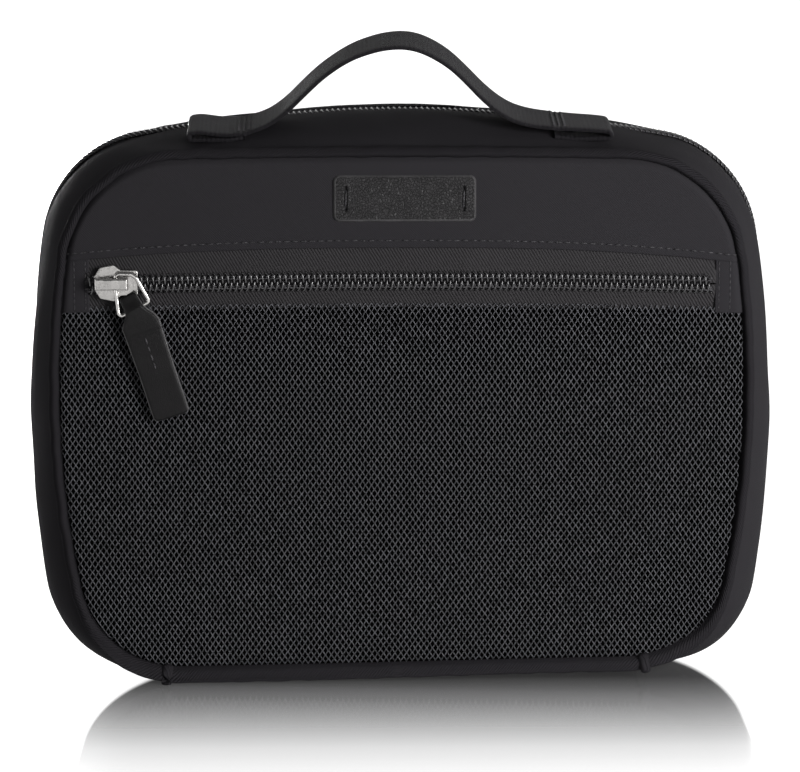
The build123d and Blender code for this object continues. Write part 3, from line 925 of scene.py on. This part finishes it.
class POUCH_OT_front(bpy.types.Operator):
    """Front panel: the cloth behind the pocket, the hemmed panel over it, the net and tabs"""
    bl_idname = "pouch.front"
    bl_label = "Front panel and net pocket"

    def execute(self, context):
        look = context.scene.pouch
        back = panel("pocket_backing", lambda x: edge_height(x, False, 0.2),
                     lambda x: np.minimum(edge_height(x, True, 0.2), 152.0), 130, 60,
                     lambda x, z: panel_y(x, z) + 0.45, material("backing"), "front_half",
                     half_width(97.0, 0.2))
        if back.data.polygons[0].normal.y > 0:
            back.data.flip_normals()
        self.hemmed_panel(look.softness / MM)
        self.net(look.net_strand / MM)
        self.end_tab("left", -116.0, -103.2, -1)
        self.end_tab("right", 103.4, 116.0, 1)
        return {"FINISHED"}

    def hemmed_panel(self, soft):
        """The upper panel hangs from the seam and ends in a folded, stitched hem."""
        x = np.sin(np.linspace(-1, 1, 161) * math.pi / 2) * half_width(144.0, 0.2) * 0.999
        top, bottom = edge_height(x, True, 0.2), hem_z(x)
        rows, uv = [], []
        for k in np.linspace(1, 0, 46):
            z = bottom + (np.maximum(top, bottom + 0.05) - bottom) * (k * 0.6 + 0.4 * k ** 0.5)
            fold = 0.45 * np.exp(-((z - bottom - HEM_DEPTH) / 0.6) ** 2)
            hem = 0.55 * ease(3.0, 2.4, z - bottom)
            cushion = (0.14 * ripples(x, z * 0.25, 12, 9.0)
                       * np.exp(-((z - bottom - 1.6) / 2.6) ** 2))
            y = (panel_y(x, z) - 0.55 - hem + fold - cushion
                 - soft * 0.35 * ripples(x, z, 13, 45.0))
            rows.append(np.stack([x, y, z], -1))
            uv.append(np.stack([x, z], -1))
        edge = rows[-1]
        # The cloth turns under at the hem's edge and runs back up behind it
        for dz, dy in ((-0.28, 0.12), (-0.36, 0.5), (-0.20, 0.95), (0.4, 1.1), (4.0, 1.0)):
            rows.append(edge + (0, dy, dz))
            uv.append(np.stack([x, edge[:, 2] + dz - dy], -1))
        cloth("upper_panel_cloth", np.concatenate(rows), grid_faces(len(rows), len(x)),
              np.concatenate(uv), material("twill"), "front_half", ("upper_panel",))
        xs = np.linspace(-111.5, 111.5, 400)
        zs = hem_z(xs) + HEM_DEPTH
        line = np.stack([xs, panel_y(xs, zs) - 0.92, zs], -1)
        p, f = stitch_line(line, 2.8, 2.05, 0.24, (0, -1, 0))
        piece("hem_stitches", p, f, material("thread"), "front_half")

    def net(self, strand):
        """Two families of strands that meet at knots and leave diamond holes."""
        step, rise, half = 0.975, 1.475, 113.6
        rng = np.random.default_rng(4)
        parts = []
        for k in range(int(2 * half / step)):
            xc = -half + (k + 0.5) * step
            z0, z1 = float(edge_height(xc, False, 0.9)), float(net_top_z(xc)) + 0.4
            zs = np.arange(math.ceil(z0 / rise), int(z1 / rise) + 1) * rise
            if len(zs) < 3:
                continue
            zs = np.concatenate([[z0], zs, [z1]])
            phase = np.round(zs / rise).astype(int) + k
            xs = xc + np.where(phase % 2, 1, -1) * (step / 2 - 0.05)
            stretch = 0.16 * ripples(xs * 0.7, zs * 0.7, 21, 42.0)
            xs = xs + stretch + rng.normal(0, 0.035, len(xs))
            zz = zs + 0.18 * ripples(xs, zs, 22, 55.0)
            zz[0], zz[-1] = z0, z1
            y = (panel_y(xs, zz) - 0.32 - 0.12 * (ripples(xs, zz, 23, 60.0) + 1)
                 + rng.normal(0, 0.03, len(xs)))
            y = y + 1.2 * ease(1.7, 0.4, outline_distance(xs, zz))  # tucked into the seam
            parts.append(tube(np.stack([xs, y, zz], -1), strand, 4, caps=False))
        p, f = join(parts)
        net = piece("net_pocket_mesh", p, f, material("net"), "front_half")
        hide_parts("net_pocket")

    def end_tab(self, word, x0, x1, sign):
        """Woven tab that closes one end of the zip window, sewn down twice."""
        cols, rows = 26, 44
        gx = np.linspace(x0, x1, cols)[None, :] * np.ones((rows, 1))
        lo_z, hi_z = net_top_z(gx) - 1.6, hem_z(gx) + 1.0
        gz = lo_z + (hi_z - lo_z) * np.linspace(0, 1, rows)[:, None]
        limit = half_width(gz, 0.15)
        gx = np.where(np.abs(gx) > limit, sign * limit, gx)
        inner_x = x1 if sign < 0 else x0
        inner = np.abs(gx - inner_x)
        y = (panel_y(gx, gz) - 0.62 - 0.22 * np.sqrt(ease(0, 0.8, inner))
             + 0.1 * np.exp(-((inner - 1.3) / 0.5) ** 2)
             + 0.1 * np.exp(-((inner - 5.0) / 0.6) ** 2))
        p = np.stack([gx, y, gz], -1).reshape(-1, 3)
        name = "end_tab_" + word
        cloth(name + "_cloth", p, grid_faces(rows, cols), p[:, [0, 2]], material("twill"),
              "front_half", (name,), 0.5, -1)
        sew = []
        for inset in (1.3, 5.0):
            zs = np.linspace(float(net_top_z(x0)) - 0.8, float(hem_z(x0)) - 0.2, 60)
            xs = np.full(60, inner_x + sign * inset)
            sew.append(stitch_line(np.stack([xs, panel_y(xs, zs) - 0.86, zs], -1), 2.1, 1.5, 0.2,
                                   (0, -1, 0)))
        p, f = join(sew)
        piece(name + "_stitches", p, f, material("thread"), "front_half")


class POUCH_OT_pocket_zip(bpy.types.Operator):
    """The net pocket's zip: tapes, wound coils and their sewing"""
    bl_idname = "pouch.pocket_zip"
    bl_label = "Pocket zip"

    def execute(self, context):
        rows, cols = 26, 220
        xs = np.linspace(ZIP_LEFT - 0.6, ZIP_RIGHT + 1.6, cols)
        for word, near, far, side in (("upper", 0.25, 11.8, 1), ("lower", -0.25, -9.0, -1)):
            off = np.linspace(near, far, rows)[:, None]
            gx = np.broadcast_to(xs, (rows, cols))
            gz = chain_z(gx) + off
            y = (panel_y(gx, gz) + 0.05 - 0.65 * ease(8.0, 2.8, np.abs(off))
                 + 0.16 * np.exp(-((np.abs(off) - 5.2) / 0.5) ** 2)
                 - 0.07 * ripples(gx, gz, 50 + side, 15.0))
            p = np.stack([gx, y, gz], -1).reshape(-1, 3)
            cloth("pocket_tape_%s_cloth" % word, p, grid_faces(rows, cols), p[:, [0, 2]],
                  material("tape"), "front_half", ("pocket_tape_" + word,), 0.25, 1)
            p, f = coil(front_chain, ZIP_LEFT, ZIP_RIGHT, side, context.scene.pouch.coil_wire / MM)
            wire = piece("pocket_coil_%s_wire" % word, p, f, material("coil"), "front_half")
            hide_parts("pocket_coil_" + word)
            p, f = thread_rows(front_chain, ZIP_LEFT, ZIP_RIGHT, side)
            piece("pocket_coil_%s_sewing" % word, p, f, material("thread"), "front_half")
        return {"FINISHED"}


class POUCH_OT_main_zip(bpy.types.Operator):
    """The main zip round the case: tapes, wound coils and their sewing"""
    bl_idname = "pouch.main_zip"
    bl_label = "Main zip"

    def execute(self, context):
        length, p, n = main_arc()
        along = steps_length()[arch_range()]
        stop, steps = length[-1] - 8.0, 620
        # The front half's zip starts at the slider, round the lower right corner
        slider = int(np.argmax(p[:, 0] > 119.0))
        begins = {"front": float(np.interp(119.5, p[:50, 0], length[:50])), "rear": 8.0}
        for word, side, first in (("front", -1, slider), ("rear", 1, 0)):
            keep = np.arange(first, len(p))
            rows, uv = [], []
            for off in np.linspace(0.25, 6.4, 16):
                welt = -1.6 + 0.12 * math.exp(-((off - 4.4) / 0.5) ** 2)
                rise = zip_rise(p[:, 0], p[:, 1]) * (1 - max(0.0, off - 2.5) / 4.0)
                q = (p + n * (welt + rise)[:, None])[keep]
                rows.append(np.stack([q[:, 0], np.full(len(q), ZIP_Y + side * off), q[:, 1]], -1))
                uv.append(np.stack([along[keep], np.full(len(q), off)], -1))
            cloth("main_tape_%s_cloth" % word, np.concatenate(rows),
                  grid_faces(len(rows), len(keep)), np.concatenate(uv), material("tape"),
                  word + "_half", ("main_tape_" + word,), 0.3, 0)
            begin = begins[word]
            q, f = coil(main_chain, begin, stop, side, context.scene.pouch.coil_wire / MM, 5, 10)
            wire = piece("main_coil_%s_wire" % word, q, f, material("coil"), word + "_half")
            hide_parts("main_coil_" + word)
            # A filler cord runs inside the coil, and the sewing goes through both
            run = np.linspace(begin, stop, steps)
            core = main_chain(run, side * 1.9, np.full(steps, -0.1))
            up = main_chain(run, side * 1.9, np.full(steps, 0.9)) - core
            q, f = join([thread_rows(main_chain, begin, stop, side),
                         tube(core, 1.0, 8, flat=0.5, up=up)])
            piece("main_coil_%s_sewing" % word, q, f, material("thread"), word + "_half")
        return {"FINISHED"}


def patch_shape(w, h, r, step=0.5):
    """Grid over a rounded rectangle, squeezed at its corners."""
    gx, gz = np.meshgrid(np.linspace(-w / 2, w / 2, int(w / step)),
                         np.linspace(-h / 2, h / 2, int(h / step)))

    def into_corner():
        return (np.clip(np.abs(gx) - (w / 2 - r), 0, None),
                np.clip(np.abs(gz) - (h / 2 - r), 0, None))
    dx, dz = into_corner()
    far = np.hypot(dx, dz)
    k = np.where(far > 0, np.maximum(dx, dz) / np.maximum(far, 1e-9), 1)
    gx = np.where(dx > 0, np.sign(gx) * (w / 2 - r + dx * k), gx)
    gz = np.where(dz > 0, np.sign(gz) * (h / 2 - r + dz * k), gz)
    rounded = np.where((dx > 0) & (dz > 0), r - np.hypot(*into_corner()), 99)
    inner = np.minimum(np.minimum(w / 2 - np.abs(gx), h / 2 - np.abs(gz)), rounded)
    return gx, gz, np.clip(inner, 0, None)


class POUCH_OT_patch(bpy.types.Operator):
    """Bare leather patch, sewn down through a slit at each end"""
    bl_idname = "pouch.patch"
    bl_label = "Leather patch"

    def execute(self, context):
        slits, middle = (-19.4, 19.4), (0.8, 164.6)
        gx, gz, inner = patch_shape(47.0, 15.5, 2.2, 0.28)
        height = 1.15 * np.sqrt(ease(-0.05, 0.9, inner))
        for slit in slits:
            d = np.hypot(gx - slit, np.clip(np.abs(gz) - 3.8, 0, None))
            height = height - 0.95 * ease(0.62, 0.25, d) + 0.10 * ease(1.7, 0.9, d)
        height = height - 0.12 * np.exp(-((inner - 1.1) / 0.35) ** 2)
        height = height + 0.05 * ripples(gx, gz, 61, 9.0)
        x, z = gx + middle[0], gz + middle[1]
        p = np.stack([x, panel_y(x, z) - 0.5 - height, z], -1).reshape(-1, 3)
        o = cloth("leather_patch_bare", p, grid_faces(*gx.shape), p[:, [0, 2]],
                  material("patch"), "front_half", ("leather_patch",))
        # The border faces get a paler material: a painted highlight along the patch's bevel
        o.data.materials.append(material("bevel_highlight"))
        edge_highlight = (inner.ravel() < 0.6)[[poly.vertices[0] for poly in o.data.polygons]]
        o.data.polygons.foreach_set("material_index", edge_highlight.astype(int))
        parts = []
        for slit in slits:
            t = np.linspace(-1, 1, 15)
            xs, zs = slit + middle[0] + 0.12 * t, middle[1] - 0.2 + 2.9 * t
            line = np.stack([xs, panel_y(xs, zs) - 0.6 - 0.75 * np.sqrt(1 - t ** 2), zs], -1)
            parts.append(tube(line, 0.32, 8))
        p, f = join(parts)
        piece("leather_patch_stitches", p, f, material("thread"), "front_half")
        return {"FINISHED"}


# ---- slider, ring and pull ----------------------------------------------

SLIDER_X = -94.3


def frame_points(origin, x_dir, y_dir, local):
    """Points of a local frame, in the drawing frame; z is away from the cloth."""
    x_dir, y_dir = np.asarray(x_dir, float), np.asarray(y_dir, float)
    z_dir = np.cross(x_dir, y_dir)
    local = np.asarray(local, float).reshape(-1, 3)
    return np.asarray(origin, float) + local @ np.stack([x_dir, y_dir, z_dir])


def pocket_place(local):
    """The pocket slider's frame."""
    return frame_points((SLIDER_X, -40.1, 137.0), (1, 0, 0), (0, 0, 1), local)


def corner_place(local):
    """The main slider's frame, on the lower right corner."""
    a, radius = math.radians(40.0), 33.0
    origin = (89.12 + radius * math.sin(a), ZIP_Y, radius - radius * math.cos(a))
    return frame_points(origin, (math.cos(a), 0, math.sin(a)), (0, -1, 0), local)


def pull_rows(turn):
    """Rows down a leather pull: height, half width, half thickness, middle, lean."""
    keys = np.array([
        (5.2, 1.2, 0.10, 2.5), (5.15, 2.6, 0.45, 2.5), (4.7, 3.0, 0.62, 2.5),
        (3.0, 3.1, 0.75, 2.5), (1.2, 3.2, 1.35, 2.45), (0.0, 3.4, 1.75, 2.4),
        (-1.6, 4.0, 1.55, 2.3), (-3.6, 5.7, 1.30, 2.2), (-5.4, 6.5, 1.25, 2.1),
        (-7.6, 6.45, 1.22, 2.0), (-8.3, 6.4, 1.18, 1.95), (-8.9, 6.4, 1.0, 1.85),
        (-10.5, 6.35, 0.98, 1.8), (-22.0, 6.1, 1.0, 1.65), (-34.0, 6.2, 1.0, 1.65),
        (-37.2, 6.1, 0.95, 1.6), (-38.0, 5.5, 0.8, 1.6), (-38.3, 4.6, 0.45, 1.6),
        (-38.35, 3.0, 0.10, 1.6)])
    y = np.concatenate([keys[:4, 0], np.linspace(2.6, -36.8, 90), keys[-4:, 0]])
    rising = keys[::-1]
    w, t, z = (np.interp(y, rising[:, 0], rising[:, i]) for i in (1, 2, 3))
    return y, w, t, z, math.radians(turn) * ease(0.5, -5.0, y)


def leather_pull(name, place, mid, bar, turn, bodies, nodes):
    """A strip folded over the ring's lower bar, with painted edges, tinted lighter as a
    painted highlight, and a sewn flap.
    """
    y, w, t, z, lean = pull_rows(turn)
    n, power = 44, 0.2
    a = np.arange(n) * math.tau / n
    c, s = np.cos(a), np.sin(a)
    sx = np.sign(c) * np.abs(c) ** power
    sz = np.sign(s) * np.abs(s) ** (power * 2.2)
    bar = np.array([bar[0], bar[1], 0.0]) / math.hypot(*bar)
    up = np.array([-bar[1], bar[0], 0.0])
    mean = (lean[1:] + lean[:-1]) / 2
    shift = np.cumsum(np.concatenate([[0], np.diff(y) * np.sin(mean)]))
    drop = np.cumsum(np.concatenate([[0], np.diff(y) * np.cos(mean)])) + y[0]
    shift = shift - shift[int(np.argmin(np.abs(y)))]
    middle = np.array([mid[0], mid[1], 0.0])
    rows, uv = [], []
    for k in range(len(y)):
        flat = sx * w[k]
        bow = 0.10 * ripples(flat, y[k] + flat * 0, 71, 16.0)
        dent = 0.3 * ease(0.9, 0.0, w[k] - np.abs(sx) * w[k]) * (sz > 0.5)
        seam = 0.35 * math.exp(-((y[k] + 8.6 + 0.04 * sx[0]) / 0.25) ** 2) * (sz > 0.5)
        q = (middle + np.outer(flat * math.cos(lean[k]) - shift[k], bar)
             + np.outer(drop[k] + flat * math.sin(lean[k]), up))
        q[:, 2] = z[k] + sz * t[k] + bow - dent - seam
        rows.append(q)
        uv.append(np.stack([np.where(sz > 0, flat, -flat + 30), np.full(n, y[k])], -1))
    o = cloth(name, place(np.concatenate(rows)), capped_tube(len(y), n), np.concatenate(uv),
              material("leather"))
    # The side edges get the paler edge material: a painted highlight along them
    o.data.materials.append(material("edge_highlight"))
    edge_highlight = (np.abs(sx) > 0.93) & (np.abs(sz) < 0.86)
    for poly in o.data.polygons:
        if len(poly.vertices) == 4 and all(edge_highlight[i % n] for i in poly.vertices):
            poly.material_index = 1
    o.data.validate()
    fix_normals(o)
    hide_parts(*nodes)
    start, end = to_world(place([middle + up * 0.8 + (0, 0, 2.3),
                                 middle - up * 2.6 + (0, 0, 2.3)]))
    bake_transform(o)
    line = []
    for k in range(int(np.argmin(np.abs(y + 9.8))), int(np.argmin(np.abs(y + 21.5))) + 1):
        line.append(middle - shift[k] * bar + drop[k] * up + (0, 0, z[k] + t[k] + 0.02))
    normal = place([(0, 0, 1)]) - place([(0, 0, 0)])
    p, f = stitch_line(place(line), 2.9, 2.2, 0.27, normal[0])
    piece(name + "_stitches", p, f, material("thread"), bodies[1])


def fix_normals(obj):
    """Faces outward by the sign of the enclosed volume."""
    mesh = obj.data
    v = np.zeros(len(mesh.vertices) * 3)
    mesh.vertices.foreach_get("co", v)
    v = v.reshape(-1, 3)
    v = v - v.mean(0)
    mesh.calc_loop_triangles()
    tri = np.zeros(len(mesh.loop_triangles) * 3, int)
    mesh.loop_triangles.foreach_get("vertices", tri)
    a, b, c = v[tri.reshape(-1, 3).T]
    if np.einsum("ij,ij->i", a, np.cross(b, c)).sum() < 0:
        mesh.flip_normals()


class POUCH_OT_pulls(bpy.types.Operator):
    """Both sliders' rings and leather pulls"""
    bl_idname = "pouch.pulls"
    bl_label = "Sliders, rings and leather pulls"

    def execute(self, context):
        for zip_name in ("pocket", "main"):
            for part, key in (("_slider", "metal"), ("_ring", "wire")):
                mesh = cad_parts[zip_name + part].data
                mesh.materials.clear()
                mesh.materials.append(material(key))
        leather_pull("pocket_pull_leather", pocket_place, (6.05, -8.55), (10.1, 5.3), -10.0,
                     ("pocket_ring", "pocket_pull"), ("pocket_pull", "pocket_pull_neck"))
        leather_pull("main_pull_leather", corner_place, (6.6, -11.0), (1.0, 0.0), 0.0,
                     ("main_ring", "main_pull"), ("main_pull", "main_pull_neck"))
        return {"FINISHED"}


# ---- handle -------------------------------------------------------------

# Height of the strap's rear top edge, from one sewn end to the other
STRAP = [(-70.5, 187.9), (-67.6, 188.6), (-64.3, 188.2), (-60.9, 187.75), (-57.5, 187.55),
         (-54.2, 187.75), (-50.8, 188.3), (-47.4, 189.3), (-44.0, 190.7), (-40.6, 193.0),
         (-37.2, 195.8), (-33.9, 199.1), (-30.5, 202.4), (-27.1, 205.5), (-23.7, 208.1),
         (-20.3, 210.4), (-17.0, 212.3), (-13.6, 213.8), (-10.2, 214.9), (-6.9, 215.8),
         (-3.5, 216.3), (-0.1, 216.5), (3.2, 216.2), (6.6, 215.3), (9.9, 213.8), (13.3, 211.9),
         (16.7, 209.5), (20.1, 206.4), (23.5, 203.0), (26.8, 199.6), (30.2, 196.6), (33.6, 194.1),
         (37.0, 192.2), (40.4, 191.0), (43.8, 190.2), (47.2, 189.7), (50.6, 189.4), (53.9, 189.1),
         (57.3, 188.8), (60.7, 188.6), (64.1, 188.4), (67.5, 188.1), (70.5, 187.6)]


def strap_tilt(x):
    """How far the strap leans to the front, in degrees."""
    return 6.6 - 0.8 * ease(26, 58, np.abs(x))


def between(grid, i, j):
    """Values of a grid between its points."""
    a, b = np.floor(i).astype(int), np.floor(j).astype(int)
    a, b = np.clip(a, 0, grid.shape[0] - 2), np.clip(b, 0, grid.shape[1] - 2)
    s, t = i - a, j - b
    return ((1 - s) * (1 - t) * grid[a, b] + s * (1 - t) * grid[a + 1, b]
            + (1 - s) * t * grid[a, b + 1] + s * t * grid[a + 1, b + 1])


class POUCH_OT_handle(bpy.types.Operator):
    """Carry handle: one ribbed strap, folded under and bar-tacked at both ends"""
    bl_idname = "pouch.handle"
    bl_label = "Handle"

    def execute(self, context):
        half, ply, m = 12.5, 1.5, 23  # half width, thickness, points across one face
        k = np.array(STRAP)
        x = np.linspace(-69.3, 68.3, 277)
        top = np.interp(x, k[:, 0], k[:, 1])
        for _ in range(14):
            top[1:-1] = (top[:-2] + 2 * top[1:-1] + top[2:]) / 4
        middle = top - half * np.sin(np.radians(strap_tilt(x))) - ply / 2
        middle = middle - 0.3 * np.exp(-((np.abs(x) - 52.0) / 1.6) ** 2)
        main = np.stack([x, middle], -1)
        curl = [self.fold(-1, main[0]), self.fold(1, main[-1])]
        path = np.array(curl[0][::-1] + main.tolist() + curl[1])
        tilts = np.radians(strap_tilt(path[:, 0]))
        along = np.gradient(path, axis=0)
        along /= np.linalg.norm(along, axis=1)[:, None]
        normal = np.stack([-along[:, 1], along[:, 0]], -1)
        run = np.linalg.norm(np.diff(path, axis=0), axis=1)
        run = np.concatenate([[0], np.cumsum(run)])
        side_x = half + 0.22
        across = np.concatenate([np.linspace(-half, half, m), [side_x, side_x],
                                 np.linspace(half, -half, m), [-side_x, -side_x]])
        level = np.concatenate([np.full(m, 1.0), [0.55, -0.55], np.full(m, -1.0),
                                [-0.55, 0.55]]) * ply / 2
        edge = 1 - 0.25 * ease(11.2, 12.5, np.abs(across))
        rows, uv = [], []
        sway = 0.45 * np.sin(path[:, 0] / 24.0 + 0.6)
        for i, (c, nrm, a) in enumerate(zip(path, normal, tilts)):
            twist = a + 0.02 * math.sin(c[0] / 15.0)
            h = level * edge + 0.07 * ripples(across, across * 0 + run[i], 81, 14.0)
            y = -14.5 + across * math.cos(twist) + sway[i]
            px = c[0] + nrm[0] * h
            pz = c[1] + nrm[1] * h + across * math.sin(twist)
            rows.append(np.stack([px, y, pz], -1))
            uv.append(np.stack([np.full(len(across), run[i]),
                                across + np.where(level < 0, 40, 0)], -1))
        o = cloth("handle_strap", np.concatenate(rows), capped_tube(len(path), len(across)),
                  np.concatenate(uv), material("webbing"))
        fix_normals(o)
        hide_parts("handle_end_left", "handle_end_right", "handle_arch")
        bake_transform(o)
        start = len(curl[0])
        self.bar_tacks(x, np.array(rows)[start:start + len(x), :m])
        return {"FINISHED"}

    def fold(self, side, end):
        """The strap turns under at its end and runs back beneath itself."""
        turn = [(end[0] + side * 1.3 * math.sin(a), end[1] - 1.15 + 1.15 * math.cos(a))
                for a in np.linspace(0.25, math.pi, 11)]
        low = end[1] - 2.3
        return turn + [(end[0] + side * (v - 69.5),
                        float(np.interp(v, [51.5, 58, 69], [end[1] - 1.4, low - 0.1, low])))
                       for v in np.linspace(69, 52.0, 18)]

    def bar_tacks(self, x, face):
        """Three zigzag rows of stitches across each sewn end."""
        parts = []
        zigzag = 0.55 * (np.arange(19) % 2 * 2 - 1)
        v = np.linspace(1, face.shape[1] - 2, 19)
        for side in (-1, 1):
            for inset in (50.4, 52.2, 54.0):
                at = np.interp(side * (inset + zigzag), x, np.arange(len(x)))
                pts = np.stack([between(face[:, :, i], at, v) for i in range(3)], -1)
                pts[:, 2] += 0.1
                parts.append(stitches((pts[1:] + pts[:-1]) / 2, pts[1:] - pts[:-1], 1.75, 0.26,
                                      np.tile((0, -0.2, 1.0), (18, 1))))
        p, f = join(parts)
        piece("handle_bar_tacks", p, f, material("thread"), "front_half")


# ---- stage --------------------------------------------------------------

CAMERA = dict(azimuth=-0.95, elevation=11.0, distance=1.2, target=(0.0, 0.0, 0.0929), lens=156.3)


def area_light(name, position, target, size, power):
    """A rectangular lamp in metres and watts, aimed at a point."""
    data = bpy.data.lights.new(name, "AREA")
    data.shape, data.size, data.size_y = "RECTANGLE", size[0], size[1]
    data.energy = power
    obj = bpy.data.objects.new(name, data)
    obj.location = position
    obj.rotation_euler = (Vector(target) - Vector(position)).to_track_quat("-Z", "Y").to_euler()
    bpy.context.scene.collection.objects.link(obj)
    return obj


class POUCH_OT_stage(bpy.types.Operator):
    """Pale table, white surroundings, soft lights and the camera"""
    bl_idname = "pouch.stage"
    bl_label = "Stage"

    def execute(self, context):
        scene = context.scene
        n, half = 41, 3.0
        gx, gy = np.meshgrid(np.linspace(-half, half, n), np.linspace(-half, half, n))
        pts = np.stack([gx.ravel(), gy.ravel(), np.zeros(n * n)], -1)
        mesh = bpy.data.meshes.new("table_top")
        mesh.from_pydata(pts.tolist(), [], grid_faces(n, n).tolist())
        # Pale even gloss that reflects only what stands close
        mesh.materials.append(painted_table("pale table, gloss-painted", "#909090"))
        table = bpy.data.objects.new("table_top", mesh)
        scene.collection.objects.link(table)
        self.surround(scene)
        area_light("key", (0.52, -0.60, 0.26), (0.04, 0, 0.10), (0.3, 0.35), 9.2)
        area_light("left", (-0.95, -0.30, 0.22), (0, 0, 0.10), (0.3, 0.5), 1.4)
        area_light("front", (0.1, -1.6, 0.30), (0, 0, 0.10), (0.8, 0.4), 2.3)
        area_light("back", (-0.25, 1.5, 0.07), (0, 0, 0.09), (0.8, 0.12), 17.0)

        data = bpy.data.cameras.new("camera")
        data.lens, data.sensor_width = CAMERA["lens"], 36.0
        camera = bpy.data.objects.new("camera", data)
        a, e = math.radians(CAMERA["azimuth"]), math.radians(CAMERA["elevation"])
        away = Vector((math.sin(a) * math.cos(e), -math.cos(a) * math.cos(e), math.sin(e)))
        camera.location = Vector(CAMERA["target"]) + away * CAMERA["distance"]
        camera.rotation_euler = (-away).to_track_quat("-Z", "Y").to_euler()
        scene.collection.objects.link(camera)
        scene.camera = camera
        scene.view_settings.view_transform = "Standard"
        scene.view_settings.look = "None"
        return {"FINISHED"}

    def surround(self, scene):
        """White to the camera and in reflections, where it dims toward the camera's side;
        as a light it is faint."""
        world = bpy.data.worlds.new("studio") if scene.world is None else scene.world
        scene.world = world
        world.use_nodes = True
        tree = world.node_tree
        tree.nodes.clear()
        ray = node(tree, "LightPath").node.outputs
        seen = node(tree, "Math", {0: ray["Is Camera Ray"], 1: ray["Is Glossy Ray"]},
                    operation="MAXIMUM")
        way = node(tree, "TexCoord").node.outputs["Generated"]
        depth = node(tree, "SeparateXYZ", {0: way}).node.outputs["Y"]
        level = node(tree, "MapRange", {0: depth, 1: -0.35, 2: 0.15, 3: 0.10, 4: 1.0})
        faint = node(tree, "Background", {"Color": (1, 1, 1, 1), "Strength": 0.06})
        white = node(tree, "Background", {"Color": (1, 1, 1, 1), "Strength": level})
        both = node(tree, "MixShader", {0: seen, 1: faint, 2: white})
        node(tree, "OutputWorld", {"Surface": both})


class POUCH_PT_panel(bpy.types.Panel):
    """Buttons for each group of pieces, with the sizes and colours they use"""
    bl_label = "Travel organizer pouch"
    bl_idname = "POUCH_PT_panel"
    bl_space_type = "VIEW_3D"
    bl_region_type = "UI"
    bl_category = "Pouch"

    def draw(self, context):
        for key in PouchSizes.__annotations__:
            self.layout.prop(context.scene.pouch, key)
        for cls in OPERATORS:
            self.layout.operator(cls.bl_idname)


OPERATORS = (POUCH_OT_gussets, POUCH_OT_insides, POUCH_OT_front, POUCH_OT_pocket_zip,
             POUCH_OT_main_zip, POUCH_OT_patch, POUCH_OT_pulls, POUCH_OT_handle, POUCH_OT_stage)
CLASSES = (PouchSizes,) + OPERATORS + (POUCH_PT_panel,)


def register():
    for cls in CLASSES:
        bpy.utils.register_class(cls)
    bpy.types.Scene.pouch = bpy.props.PointerProperty(type=PouchSizes)


def unregister():
    del bpy.types.Scene.pouch
    for cls in reversed(CLASSES):
        bpy.utils.unregister_class(cls)


def main():
    """Runs every group."""
    register()
    for cls in OPERATORS:
        group, name = cls.bl_idname.split(".")
        if getattr(getattr(bpy.ops, group), name)() != {"FINISHED"}:
            raise RuntimeError(cls.bl_idname + " did not finish")
    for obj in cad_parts.values():
        if not obj.hide_render and not obj.data.materials:
            obj.data.materials.append(material("board"))
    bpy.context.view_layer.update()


if __name__ == "__main__":
    main()
